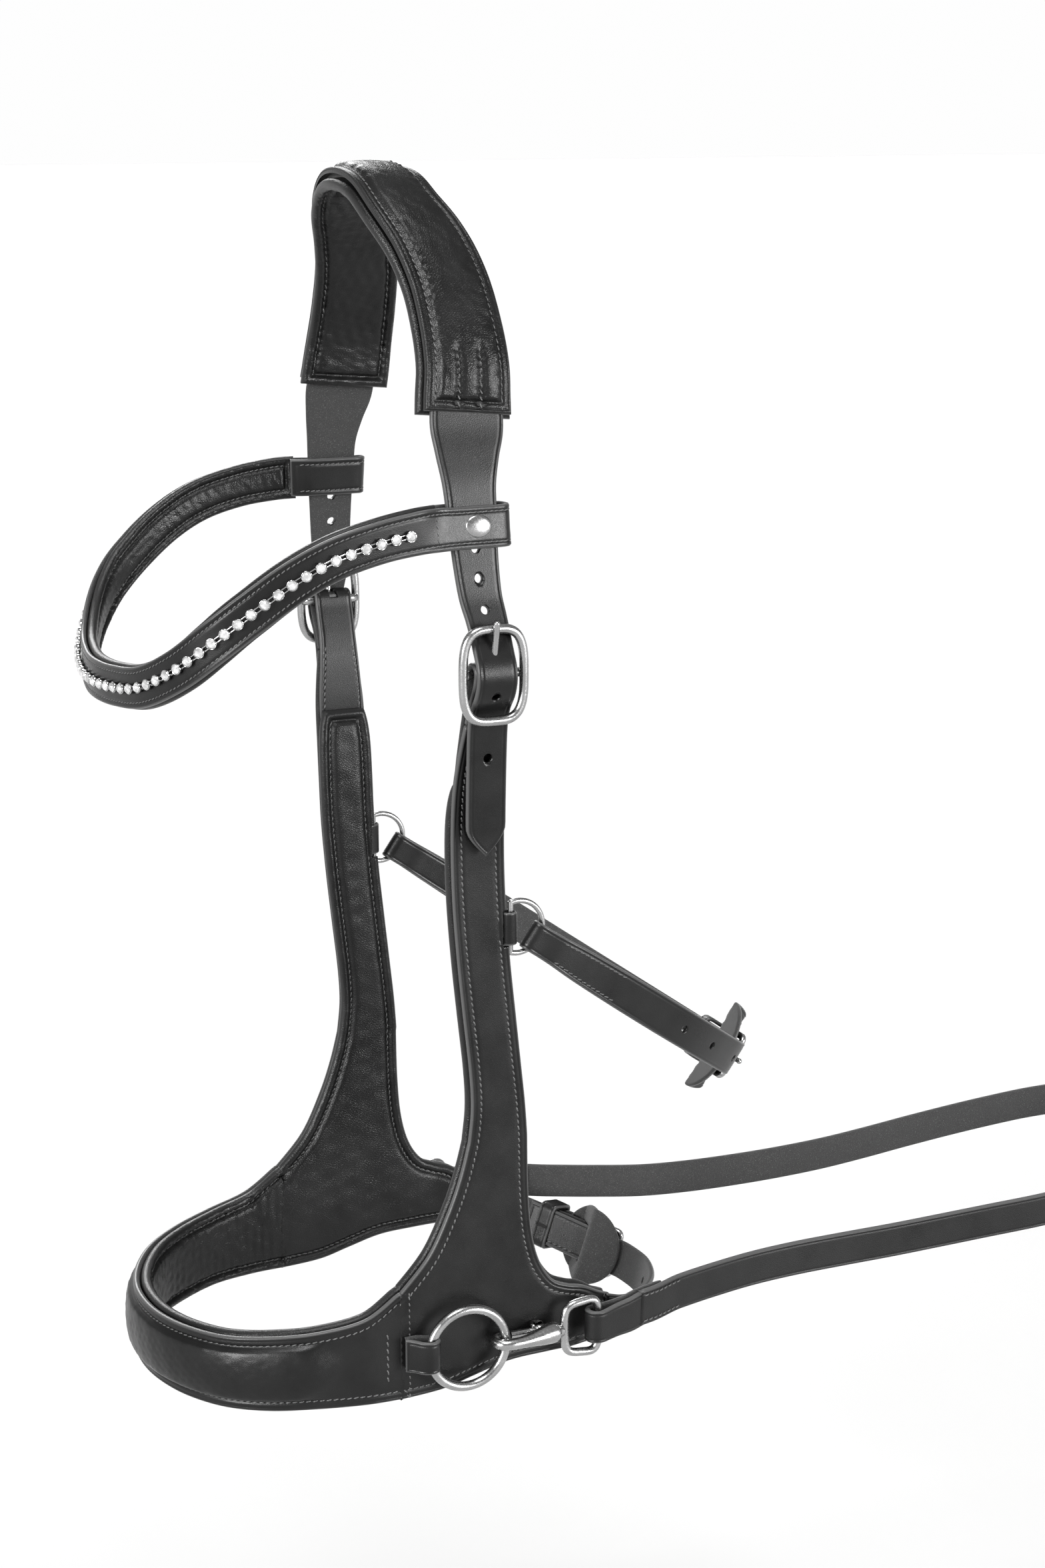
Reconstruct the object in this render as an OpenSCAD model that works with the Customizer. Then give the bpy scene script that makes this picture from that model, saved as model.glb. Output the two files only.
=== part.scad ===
// Bitless show bridle: padded headpiece, wave browband, flared cheeks that run into a
// padded noseband, buckled throat and chin straps, side rings, snap hooks and reins.
// X points to the horse's left, -Y to the nose, +Z up. The origin is the underside of
// the headpiece at its highest point, where it sits behind the ears.

/* [Leather] */
// Thickness of the bridle leather
leather = 2.8; // [2.2:0.1:3]
// Thickness of the soft padding under the headpiece
crown_pad = 5.2; // [3:0.2:6]
// Thickness of the soft padding under the cheeks and the noseband
cheek_pad = 5.5; // [3:0.5:6]
// Width of the throat strap
throat_w = 16; // [14:1:17]
// Width of the chin strap
chin_w = 17; // [15:1:18]

/* [Cheek buckles] */
// Width of the buckle frame
buckle_w = 30; // [29:0.5:31]
// Height of the buckle frame
buckle_h = 41; // [40:0.5:42]
// Radius of the frame's wire
buckle_r = 1.8; // [1.6:0.1:1.9]
// Radius of the centre bar
bar_r = 2; // [1.8:0.1:2]

/* [Rings] */
// Outer diameter of the side rings
ring_d = 38; // [37:0.5:39]
// Radius of the side rings' wire
ring_r = 2; // [1.8:0.1:2]
// Radius of the throat strap D-rings' wire
dee_r = 1.15; // [1:0.05:1.2]
// Centre-line radius of the D-rings' round side
dee_bow = 11; // [10.8:0.1:11.2]

/* [Browband] */
// Diameter of the crystals
stone_d = 4.6; // [4:0.1:4.8]
// Number of crystals on each half of the browband
stones = 28; // [20:1:28]

/* [Reins] */
// Width of the reins
rein_w = 16; // [15:0.5:17]
// Thickness of the reins
rein_t = 3; // [2.6:0.1:3.2]
// Radius of the snap hooks' wire
snap_r = 2; // [1.8:0.1:2]

/* [Hidden] */
$fn = 48;
gap = 0.1;        // space left between two pieces that lie on each other
lay = 0.4;        // the same between two curved layers
run = 0.06;       // radial clearance of a hinge or a ring in its bore
black = [0.10, 0.10, 0.11];
steel = [0.75, 0.76, 0.78];

// Straps. Each row of a route is [x, y, z, width], on the strap's outer face.
head_route = [
    [0, 0, 8.3, 24], [17.5, 1, 5.5, 24.5], [31.5, 3.5, -3.6, 25], [43.8, 9, -16.6, 26],
    [53.6, 13, -32, 27], [62, 14.5, -49, 28], [68, 14.5, -64, 29], [70.5, 13.5, -77, 30],
    [73, 12.5, -88, 30.5], [76, 11.5, -98, 26.5], [79, 11, -109, 22.5],
    [81.2, 11.2, -122, 21], [83.5, 11.6, -138, 19.3], [86, 12.4, -151, 18.2],
    [88.6, 13.6, -159, 17.5], [91, 14.2, -165, 17.2], [95, 14.2, -172, 17],
    [98.2, 14.2, -178, 17], [98.9, 14.2, -184, 17], [96.5, 14.2, -190.5, 17],
    [91.5, 14.2, -197, 17], [89.2, 14.2, -203, 17], [87.8, 14.3, -214, 17],
    [86, 14.6, -235, 17], [85, 14.9, -249, 17], [84.7, 15, -254, 11], [84.6, 15, -257, 3]
];
crown_rows = 9;         // rows of the head route that the padded crown covers
crown_extra = 6;        // how much wider the crown is than the strap inside it
brow_route = [
    [86.2, -4, -125, 17], [88.2, -14, -125.6, 17], [89.4, -30, -128, 16.5],
    [89.2, -48, -133, 16.5], [87, -64, -141, 16.5], [82.5, -80, -152.5, 16.5],
    [75, -94, -164.5, 16.5], [62, -105, -176.5, 16.5], [42, -113.5, -186, 16.5],
    [20, -118.5, -189, 16.5], [0, -120.5, -189.5, 16.5]
];
nose_route = [
    [78.9, -22.8, -465, 47], [78, -37, -469.5, 38], [73.5, -57, -471.5, 34],
    [65, -75, -473, 33], [53, -90, -474, 32], [36, -101, -474.5, 31.5],
    [18, -107.5, -474.5, 31], [0, -109.5, -474.5, 31]
];
cheek_route = [
    [85.9, 14.2, -203, 17], [84.2, 14.1, -213, 20], [81.8, 13.8, -227, 22.5],
    [79.8, 13.7, -243, 23], [79, 13.9, -260, 23], [79, 14.6, -280, 23], [79, 16.5, -304, 23],
    [79, 18.8, -326, 23], [79, 21.4, -350, 23], [79, 22.6, -366, 24], [79, 22.4, -380, 26.4]
];
// Outline of the flared lower cheek, as [y, z]: nose edge down, then along the bottom
// edge to the rear arm, and back up its rear edge.
flare_nose = [[9.2, -380], [5.5, -394], [0, -409], [-9, -427], [-22, -441.5]];
flare_bottom = [[-22, -488.6], [-3, -487.4], [11, -484], [27, -480], [44, -480], [55, -481]];
flare_rear = [[55, -452.5], [47, -447], [41, -437], [37.5, -423], [36, -404], [35.6, -380]];

// The rear arm bends inwards from the flared cheek towards the chin
arm_route = [[78.9, 52.4, -463.5, 29], [78.6, 58, -465, 25.5], [76.5, 67.5, -468, 21.5],
             [73.4, 74.5, -470.3, 19.5]];

cheek_x = 79;           // outer face of the cheek leather
bar = [91, 14.2, -182]; // centre of the cheek buckle's bar
rail_off = 2.5;         // how far the frame stands outside its bar
ring_at = [86, 5.3, -467];
ring_bow = ring_d / 2 - ring_r;
dee_at = [77.6, 31.4, -290.5];  // centre of the D-ring's bow
dee_flat = 3.2;         // from there forward to its straight side

// The throat strap lies in a sloping plane that starts at the D-rings' bows
throat_slope = 35.3;
throat_at = [0, dee_at[1] + dee_bow * cos(throat_slope), dee_at[2] - dee_bow * sin(throat_slope)];
throat_side = [[dee_at[0], 10], [77.2, 25], [75, 48], [70.5, 72], [63, 95], [52, 116],
               [40, 133], [31, 141.5]];
throat_back = [[-13, 155.6], [-27, 156], [-39, 149], [-49, 136], [-59, 117], [-67.5, 93],
               [-73.5, 66], [-76.8, 38], [-dee_at[0], 10]];
throat_bar = [6, 151];
throat_turn = -12;
chin_slope = 18.6;
chin_at = [0, 41, -459];
chin_side = [[73.2, 35.5], [69, 44.5], [61, 55.5], [48, 68], [32, 79], [16, 86.5], [3, 89.8]];
chin_back = [[-43, 68.2], [-50, 63.6], [-57, 58], [-64.5, 50.5], [-70, 41.5], [-73.2, 35.5]];
chin_bar = [-28, 78];
chin_turn = 33;

// The reins' route from the stitched fold to the centre buckle, outside the view.
rein_route = [
    [80, 86, -466], [76, 97, -466.5], [70, 112, -467], [63, 133, -468], [57, 155, -469],
    [54, 178, -469.5], [53, 203, -469.8], [53, 228, -469.8], [53.5, 253, -469.2],
    [55, 278, -468], [57, 303, -466.6], [58, 328, -465], [58, 352, -463.4],
    [57, 374, -462], [54, 394, -461], [48.5, 411, -460.4], [42, 422, -460.1],
    [36, 428.4, -460], [30.6, 430, -460]
];

// ---------------------------------------------------------------- helper functions
function unit(v) = v / norm(v);
function blend4(a, b, c, d, t) =
    0.5 * (2 * b + (c - a) * t + (2 * a - 5 * b + 4 * c - d) * t * t
           + (3 * b - a - 3 * c + d) * t * t * t);
function curve(p, n) = let (m = len(p) - 1) concat(
    [for (i = [0 : m - 1], k = [0 : n - 1])
        blend4(p[max(i - 1, 0)], p[i], p[i + 1], p[min(i + 2, m)], k / n)], [p[m]]);
function place(r) = [r[0], r[1], r[2]];
function heading(p, i) = unit(place(p[min(i + 1, len(p) - 1)]) - place(p[max(i - 1, 0)]));
function sideways(t, ref) = unit(ref - (ref * t) * t);
function first(p, n) = [for (i = [0 : n - 1]) p[i]];
function flipped(r) = len(r) == 4 ? [-r[0], r[1], r[2], r[3]] : [-r[0], r[1], r[2]];
// A whole strap from its left half, whose last row is on the centre plane
function whole(p) = concat(p, [for (i = [len(p) - 2 : -1 : 0]) flipped(p[i])]);
function reversed(p) = [for (i = [len(p) - 1 : -1 : 0]) p[i]];
function wider(p, extra) = [for (r = p) [r[0], r[1], r[2], r[3] + extra]];

// Cross-sections as [share of the half width, height over the outer face]
function flat(top, bottom) = [[-1, bottom], [1, bottom], [1, top], [-1, top]];
function domed(top, edge, bottom) =
    [[-1, bottom], [1, bottom], [1, edge], [0.6, top], [-0.6, top], [-1, edge]];
function domed_down(top, edge, bottom) =
    [[-1, edge], [-0.6, bottom], [0.6, bottom], [1, edge], [1, top], [-1, top]];

// A closed strap swept along a route, with its width square to the route and near ref.
// The outer face looks along heading x width. An upright strap keeps its width along ref.
module strap(route, ref, section, n = 3, upright = false) {
    p = curve(route, n);
    s = len(section);
    points = [for (i = [0 : len(p) - 1])
        let (t = heading(p, i), w = upright ? ref : sideways(t, ref), up = unit(cross(w, t)))
        for (c = section) place(p[i]) + w * c[0] * p[i][3] / 2 + up * c[1]];
    sides = [for (i = [0 : len(p) - 2], k = [0 : s - 1])
        let (a = i * s + k, b = i * s + (k + 1) % s)
        each [[a, b, b + s], [a, b + s, a + s]]];
    ends = [[for (k = [s - 1 : -1 : 0]) k], [for (k = [0 : s - 1]) (len(p) - 1) * s + k]];
    polyhedron(points, concat(sides, ends));
}

// A flat outline of a ribbon on a 2D route, from the height low to the height high
function normal2(p, i) =
    let (a = p[max(i - 1, 0)], b = p[min(i + 1, len(p) - 1)], d = (b - a) / norm(b - a))
    [d[1], -d[0]];
function inset(p, d) = [for (i = [0 : len(p) - 1]) p[i] + normal2(p, i) * d];
module ribbon(route, low, high, width, n = 4) {
    p = curve(route, n);
    linear_extrude(width, center = true) polygon(concat(
        [for (i = [0 : len(p) - 1]) p[i] + normal2(p, i) * low],
        [for (i = [len(p) - 1 : -1 : 0]) p[i] + normal2(p, i) * high]));
}

module rod(a, b, r) {
    d = b - a;
    translate(a) rotate([0, acos(d[2] / norm(d)), atan2(d[1], d[0])]) cylinder(norm(d), r, r);
}

// A rectangle of round wire in the XY plane with round corners, w by h outside
module wire_frame(w, h, r, corner) {
    x = w / 2 - r - corner;
    y = h / 2 - r - corner;
    for (sx = [-1, 1], sy = [-1, 1]) translate([sx * x, sy * y, 0])
        rotate([0, 0, sx > 0 ? (sy > 0 ? 0 : -90) : (sy > 0 ? 90 : 180)])
            rotate_extrude(angle = 90) translate([corner, 0]) circle(r);
    for (s = [-1, 1]) {
        translate([s * (w / 2 - r), -y, 0]) rotate([-90, 0, 0]) cylinder(2 * y, r, r);
        translate([-x, s * (h / 2 - r), 0]) rotate([0, 90, 0]) cylinder(2 * x, r, r);
    }
}

module wire_ring(bow, r) { rotate_extrude() translate([bow, 0]) circle(r); }
module mirrored(side) { if (side > 0) children(); else mirror([1, 0, 0]) children(); }

// ---------------------------------------------------------------- headpiece
// The frame stands upright: its width lies along Y, and it faces +X
module at_bar() { translate(bar) rotate([90, 0, 90]) children(); }
// The tongue's shank runs from beside the bar to the outer face of the top rail
tongue_r = 1.3;
shank_from = [2.4, 0, 1.5];
shank_to = [rail_off + buckle_r + tongue_r + gap, 0, buckle_h / 2 - buckle_r];
function tongue_path(swing) = [for (p = [shank_from, shank_to + 0.12 * (shank_to - shank_from)])
    [p[0] * cos(swing) + p[2] * sin(swing), 0, p[2] * cos(swing) - p[0] * sin(swing)]];

module headpiece_strap() {
    holes = [[78.4, 11, -107], [81.2, 11.2, -122], [84.8, 12, -145], [87, 14.4, -226]];
    color(black) difference() {
        strap(whole(reversed(head_route)), [0, 1, 0], flat(0, -leather));
        for (side = [-1, 1]) {
            for (swing = [-4, 3, 9]) let (p = tongue_path(swing))
                mirrored(side) translate(bar) rod(p[0], p[1], tongue_r + 0.6);
            for (h = holes)
                mirrored(side) translate(h) rotate([0, 90, 0]) cylinder(16, 2, 2, center = true);
        }
    }
}

module crown_leather() {
    rows = wider(first(head_route, crown_rows), crown_extra);
    color(black) strap(whole(reversed(rows)), [0, 1, 0], domed(lay + 2.3, lay + 1.3, lay));
}

module crown_padding() {
    rows = wider(first(head_route, crown_rows), crown_extra);
    low = -leather - lay;
    color(black) strap(whole(reversed(rows)), [0, 1, 0],
        domed_down(low, low - 2.4, low - crown_pad));
}

// ---------------------------------------------------------------- browband
brow_loop = [81.3, 11.2, -125];  // centre of the loop, on the head strap
brow_loop_tilt = 8.5;
module browband_loop(side) {
    color(black) mirrored(side) translate(brow_loop) rotate([0, -brow_loop_tilt, 0])
        translate([-1.4, 0, 0]) difference() {
            translate([0, -0.5, 0]) cube([9.4, 30, 17], center = true);
            translate([0, 0.3, 0]) cube([4.8, 24.6, 30], center = true);
        }
}

module browband_leather() {
    color(black) strap(whole(brow_route), [0, 0, 1], flat(0, -2.4));
}

module browband_padding() {
    color(black) strap(whole(wider(brow_route, 1.4)), [0, 0, 1],
        domed_down(-2.4 - lay, -4.6, -7));
}

// Stones sit at an even pitch along the browband's outer face
brow_line = curve(whole(brow_route), 12);
function steps(p) = [for (i = [1 : len(p) - 1]) norm(place(p[i]) - place(p[i - 1]))];
function running(v, i = 0, sum = 0) = i >= len(v) ? [sum]
    : concat([sum], running(v, i + 1, sum + v[i]));
brow_run = running(steps(brow_line));
brow_mid = brow_run[len(brow_run) - 1] / 2;
stone_pitch = 6.3;
function segment(s) = len([for (r = brow_run) if (r <= s) r]) - 1;
function stone_frame(k) = let (s = brow_mid + k * stone_pitch, i = segment(s),
    t = unit(place(brow_line[i + 1]) - place(brow_line[i])))
    [place(brow_line[i]) + t * (s - brow_run[i]), cross(sideways(t, [0, 0, 1]), t)];

module stone_row(height, depth, r) {
    for (k = [-stones : stones]) let (f = stone_frame(k))
        rod(f[0] + f[1] * height, f[0] + f[1] * (height + depth), r);
}
module crystals() {
    color([0.9, 0.95, 1]) stone_row(1.2 + lay, 1.5, stone_d / 2);
}
module crystal_cups() {
    color(steel) stone_row(lay, 1.1, stone_d / 2 + 0.3);
}

// A plain oval stud on the left loop
module loop_stud() {
    color(steel) translate(brow_loop) rotate([0, -brow_loop_tilt, 0])
        translate([3.4, 0.5, 0]) rotate([0, 90, 0]) cylinder(1.2, 5.5, 4.5);
}

// ---------------------------------------------------------------- cheeks and noseband
fold_in = bar_r + run;
fold_out = fold_in + 2.5;
module cheek_fold() {
    outside = [[bar[0] + fold_out, -182], [94.9, -186.2], [92.2, -190], [88.3, -195.8],
               [86.2, -201], [85.4, -205]];
    translate([0, bar[1], 0]) rotate([90, 0, 0]) {
        difference() {
            translate([bar[0], -182, 0]) cylinder(17, fold_out, fold_out, center = true);
            translate([bar[0], -182, 0]) cylinder(30, fold_in, fold_in, center = true);
            translate([bar[0], -192, 0]) cube([30, 20, 30], center = true);
        }
        ribbon(outside, 0, 2.5, 17);
        ribbon([[bar[0] - fold_out, -182], [bar[0] - fold_out - 0.2, -190],
                [bar[0] - 8, -198], [bar[0] - 9.2, -206]], -2.5, 0, 17);
    }
}

module tongue_slot(width) {
    translate(bar + [0, 0, -1]) cube([12, width, 12], center = true);
}

module flare(inset, low, high) {
    outline = concat([for (p = curve(flare_nose, 4)) p + [inset, 0]],
        [for (p = curve(flare_bottom, 3)) p + [0, inset]],
        [for (p = curve(flare_rear, 4)) p - [inset, 0]]);
    translate([low, 0, 0]) rotate([90, 0, 90]) linear_extrude(high - low) polygon(outline);
}

module cheek_leather(side) {
    color(black) mirrored(side) difference() {
        union() {
            cheek_fold();
            strap(reversed(cheek_route), [0, 1, 0], flat(0, -leather));
            flare(0, cheek_x - leather, cheek_x);
            strap(reversed(arm_route), [0, sin(chin_slope), cos(chin_slope)],
                flat(0, -leather));
        }
        tongue_slot(4.6);
        translate(dee_at - [0, dee_flat, 0]) {
            cylinder(14.8, 3.2, 3.2, center = true);
            cylinder(26, dee_r + 0.5, dee_r + 0.5, center = true);
        }
    }
}

module cheek_lining(side) {
    low = leather + gap;
    color(black) mirrored(side) difference() {
        union() {
            strap(reversed([for (i = [2 : len(cheek_route) - 1]) cheek_route[i]]), [0, 1, 0],
                flat(-low, -low - cheek_pad));
            flare(0.8, cheek_x - low - cheek_pad, cheek_x - low);
        }
        translate(dee_at - [3, 7, 0]) cube([3.2, 14, 15], center = true);
    }
}

module noseband_leather() {
    color(black) strap(whole(nose_route), [0, 0, 1], flat(0, -leather), upright = true);
}

module noseband_padding() {
    color(black) strap(whole(wider(nose_route, -1)), [0, 0, 1],
        domed_down(-leather - lay, -leather - 2.5, -leather - cheek_pad), upright = true);
}

// ---------------------------------------------------------------- side rings
module ring_bore(extra) {
    translate(ring_at) rotate([0, 90, 0]) wire_ring(ring_bow, ring_r + extra);
}
module ring_tab(side) {
    front = ring_at[1] - ring_bow;
    color(black) mirrored(side) difference() {
        union() {
            translate([ring_at[0], front, ring_at[2]]) cylinder(14.5, 4.6, 4.6, center = true);
            translate([cheek_x + gap, -21, ring_at[2] - 7.25]) cube([7, 21 + front, 14.5]);
        }
        ring_bore(run);
        translate([cheek_x + gap - 5, -30, -500]) cube([5, 60, 60]);
    }
}
module side_ring(side) { color(steel) mirrored(side) ring_bore(0); }

// ---------------------------------------------------------------- D-rings
module dee_body(extra) {
    half = sqrt(pow(dee_bow, 2) - pow(dee_flat, 2));
    turn = asin(dee_flat / dee_bow);
    translate(dee_at) {
        translate([0, -dee_flat, 0])
            cylinder(2 * half + dee_r, dee_r + extra, dee_r + extra, center = true);
        rotate([0, 90, 0]) rotate([0, 0, -turn]) rotate_extrude(angle = 180 + 2 * turn)
            translate([dee_bow, 0]) circle(dee_r + extra);
    }
}
module dee_ring(side) { color(steel) mirrored(side) dee_body(0); }
module dee_keeper(side) {
    color(black) mirrored(side) translate(dee_at - [0, dee_flat, 0]) difference() {
        union() {
            cylinder(14, 2.9, 2.9, center = true);
            translate([-4.3, -9.5, -7]) cube([2.5, 9.5, 14]);
        }
        cylinder(40, dee_r + run, dee_r + run, center = true);
    }
}

// ---------------------------------------------------------------- cheek buckles
module cheek_buckle(side) {
    color(steel) mirrored(side) at_bar() {
        translate([0, 0, rail_off]) wire_frame(buckle_w, buckle_h, buckle_r, 5.5);
        rotate([0, 90, 0]) cylinder(buckle_w - 2 * buckle_r, bar_r, bar_r, center = true);
    }
}
module cheek_tongue(side) {
    p = tongue_path(0);
    color(steel) mirrored(side) translate(bar) difference() {
        union() {
            rotate([90, 0, 0]) cylinder(3.4, bar_r + 1.5, bar_r + 1.5, center = true);
            rod(p[0], p[1], tongue_r);
            translate(p[1]) sphere(tongue_r);
        }
        rotate([90, 0, 0]) cylinder(10, fold_in, fold_in, center = true);
    }
}

// ---------------------------------------------------------------- end-bar buckles
// Each is drawn round its bar: X runs to the billet's side, Y outwards, Z across.
sb_bar = 1.5;
sb_front = 13;      // bar to front rail
sb_rail_y = 1.8;    // the front rail stands this far outside the bar
sb_leather = 2.1;
sb_fold = sb_bar + run + sb_leather;
pad_t = 2.2;
billet_t = 2.4;
billet_low = sb_fold + gap + pad_t + gap;
sb_tip = [sb_front + 1.4, sb_rail_y + sb_bar + 1.65, 0];
shank_r = 1.1;
keeper_x = -24.5;

module small_frame(w) {
    rotate([0, 0, asin(sb_rail_y / sb_front)]) translate([sb_front / 2, 0, 0])
        rotate([90, 0, 0]) wire_frame(sb_front + 2 * sb_bar, w, sb_bar, 2.4);
}
module small_shank(swing, r) {
    rotate([0, 0, swing]) {
        rod([1.2, 1.7, 0], sb_tip, r);
        translate(sb_tip) sphere(r + 0.15);
    }
}
module small_tongue() {
    difference() {
        union() {
            cylinder(3, sb_bar + 1.3, sb_bar + 1.3, center = true);
            small_shank(0, shank_r);
        }
        cylinder(10, sb_bar + run, sb_bar + run, center = true);
    }
}
// The chape's folded end, cut for the tongue; its legs reach back to x = -reach
module small_fold(w, reach) {
    difference() {
        union() {
            cylinder(w, sb_fold, sb_fold, center = true);
            translate([-reach, -sb_fold, -w / 2]) cube([reach, 2 * sb_fold, w]);
        }
        cylinder(40, sb_bar + run, sb_bar + run, center = true);
        translate([1.2, 0, 0]) cube([10, 20, 4], center = true);
    }
}
// A round safe that lies inside the buckle and, past its slit, outside the chape
module small_pad(r, w) {
    low = -sb_fold - gap;
    high = sb_fold + gap;
    intersection() {
        difference() {
            linear_extrude(80, center = true)
                polygon([[40, low - pad_t], [0, low - pad_t], [-8, high], [-40, high],
                    [-40, high + pad_t], [-9.5, high + pad_t], [-1.5, low], [40, low]]);
            translate([-20, 0, 0]) cube([40, 2 * sb_fold + 0.1, w + 0.8], center = true);
        }
        rotate([90, 0, 0]) cylinder(60, r, r, center = true);
    }
}
// The billet's end: under the front rail, over the bar, then flat on the pad
function billet_end(reach) = [[20, -3.2], [sb_front + 1, -2.7], [9.5, -0.8], [4.8, 4.6],
    [0, billet_low], [-6, billet_low], [-14, billet_low], [-reach, billet_low]];
module billet_hole() { for (swing = [-1, 2, 5, 8]) small_shank(swing, shank_r + 0.5); }
module small_keeper(w) {
    height = sb_fold + billet_low + billet_t + 0.4;
    translate([keeper_x, (billet_low + billet_t - sb_fold) / 2, 0]) difference() {
        cube([8, height + 3.6, w + 4.6], center = true);
        cube([12, height, w + 0.8], center = true);
    }
}
// A point of a buckle's own plane, seen in its strap's plane
function from_bar(p, at, turn) = [at[0] + p[0] * cos(turn) - p[1] * sin(turn),
                                  at[1] + p[0] * sin(turn) + p[1] * cos(turn)];

// ---------------------------------------------------------------- throat strap
module in_throat() { translate(throat_at) rotate([-throat_slope, 0, 0]) children(); }
module at_throat_buckle() {
    in_throat() translate([throat_bar[0], throat_bar[1], 0]) rotate([0, 0, throat_turn])
        children();
}
// The strap's narrowed end wraps the D-ring's bow with room to swing
wrap_w = 13;
module dee_wrap(s) {
    wire = dee_r + 1.05;
    in_throat() translate([s * dee_at[0], 0, 0]) difference() {
        union() {
            translate([0, -1.7, 0]) cylinder(wrap_w, wire + 1.5, wire + 1.5, center = true);
            translate([-wire - 1.5, -1.7, -wrap_w / 2]) cube([2 * wire + 3, 13, wrap_w]);
        }
        translate([0, -1.7, 0]) cylinder(40, wire, wire, center = true);
        translate([-wire, -1.7, -20]) cube([2 * wire, 3.5, 40]);
    }
}
module throat_billet() {
    end = [for (p = billet_end(38)) from_bar(p, throat_bar, throat_turn)];
    color(black) difference() {
        union() {
            dee_wrap(1);
            in_throat() ribbon(concat(throat_side, end), 0, billet_t, throat_w);
        }
        at_throat_buckle() billet_hole();
        in_throat() for (p = [[38, 135.5], [54, 112], [65, 89]])
            translate([p[0], p[1], 0]) rotate([90, 0, 90]) cylinder(12, 2, 2, center = true);
    }
}
module throat_chape() {
    color(black) {
        dee_wrap(-1);
        at_throat_buckle() small_fold(throat_w, 20);
        in_throat() ribbon(throat_back, -2.4, 2.4, throat_w);
    }
}
module throat_pad() { color(black) at_throat_buckle() small_pad(22, throat_w); }
module throat_keeper() { color(black) at_throat_buckle() small_keeper(throat_w); }
module throat_buckle() { color(steel) at_throat_buckle() small_frame(throat_w + 7); }
module throat_tongue() { color(steel) at_throat_buckle() small_tongue(); }

// ---------------------------------------------------------------- chin strap
module in_chin() { translate(chin_at) rotate([-chin_slope, 0, 0]) children(); }
module at_chin_buckle() {
    in_chin() translate([chin_bar[0], chin_bar[1], 0]) rotate([0, 0, chin_turn]) children();
}
module chin_billet() {
    end = [for (p = billet_end(30)) from_bar(p, chin_bar, chin_turn)];
    color(black) difference() {
        in_chin() ribbon(concat(inset(chin_side, -billet_t), end), 0, billet_t, chin_w);
        at_chin_buckle() billet_hole();
    }
}
module chin_chape() {
    color(black) {
        at_chin_buckle() small_fold(chin_w, 22);
        in_chin() ribbon(chin_back, -2, 1, chin_w);
    }
}
module chin_pad() { color(black) at_chin_buckle() small_pad(18, chin_w); }
module chin_keeper() { color(black) at_chin_buckle() small_keeper(chin_w); }
module chin_buckle() { color(steel) at_chin_buckle() small_frame(chin_w + 7); }
module chin_tongue() { color(steel) at_chin_buckle() small_tongue(); }

// ---------------------------------------------------------------- snap hooks
// The hook straddles the ring's rear wire; its arms lie either side of the ring's plane
arm_off = 4.35;
nose_y = 20.5;
pin_at = [ring_at[0] - arm_off, 38.2, ring_at[2]];
eye_bar = [ring_at[0], 63.8, ring_at[2]];

module snap_hook(side) {
    x = ring_at[0];
    z = ring_at[2];
    color(steel) mirrored(side) difference() {
        union() {
            translate([x, nose_y, z]) rotate([0, 0, 180]) rotate_extrude(angle = 180)
                translate([arm_off, 0]) circle(snap_r);
            rod([x - arm_off, nose_y, z], [x - arm_off, 26, z], snap_r);
            rod([x + arm_off, nose_y, z], [x + arm_off, 40, z], snap_r);
            translate([x, 36.5, z]) rotate([-90, 0, 0]) cylinder(12, 4.6, 5.4);
            translate([x, 48.5, z]) sphere(5.4);
            translate([x, 57, z]) rotate([0, 90, 0]) wire_frame(26, 18, 2.2, 3.5);
        }
        translate([x - 12, 33, z - 1.7]) cube([10.6, 9.5, 3.4]);
        translate(pin_at) cylinder(20, 0.8, 0.8, center = true);
    }
}
module snap_pin(side) {
    color(steel) mirrored(side) translate(pin_at) cylinder(8, 0.8, 0.8, center = true);
}
module snap_gate(side) {
    color(steel) mirrored(side) difference() {
        union() {
            rod([pin_at[0], 26.4, pin_at[2]], pin_at, 1.6);
            translate(pin_at) cylinder(3, 2.3, 2.3, center = true);
        }
        translate(pin_at) cylinder(10, 0.8 + run, 0.8 + run, center = true);
    }
}

// ---------------------------------------------------------------- reins
fold_r = 2.3;
module rein_fold(side) {
    color(black) mirrored(side) translate(eye_bar) difference() {
        union() {
            cylinder(rein_w, fold_r + 2.4, fold_r + 2.4, center = true);
            ribbon([[0, 0], [-0.6, 4], [-2.2, 10], [-4.2, 17], [-5.8, 21.6]], -3, 3, rein_w);
        }
        cylinder(40, fold_r, fold_r, center = true);
    }
}
module rein(side) {
    half = rein_t / 2;
    rows = [for (r = reversed(rein_route)) [r[0], r[1], r[2], rein_w]];
    color(black) mirrored(side) strap(rows, [0, 0, 1],
        [[-1, -0.6], [-0.9, -half], [0.9, -half], [1, -0.6],
         [1, 0.6], [0.9, half], [-0.9, half], [-1, 0.6]], 2);
}

// The centre buckle joins the two reins; its bar sits in the left rein's folded end
rein_bar = [4.2, 430, -460];
chape_reach = 26;
module at_rein_buckle() { translate(rein_bar) mirror([1, 0, 0]) children(); }
module rein_chape() { color(black) at_rein_buckle() small_fold(rein_w, chape_reach - gap); }
module rein_billet() {
    start = rein_bar[0] + rein_route[len(rein_route) - 1][0] - 0.6;
    color(black) at_rein_buckle() difference() {
        ribbon(concat([[start, -1.2], [start - 7, -1.8]], billet_end(36)), 0, billet_t, rein_w);
        billet_hole();
    }
}
module rein_buckle() { color(steel) at_rein_buckle() small_frame(rein_w + 7); }
module rein_tongue() { color(steel) at_rein_buckle() small_tongue(); }
module rein_keeper() { color(black) at_rein_buckle() small_keeper(rein_w); }

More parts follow.
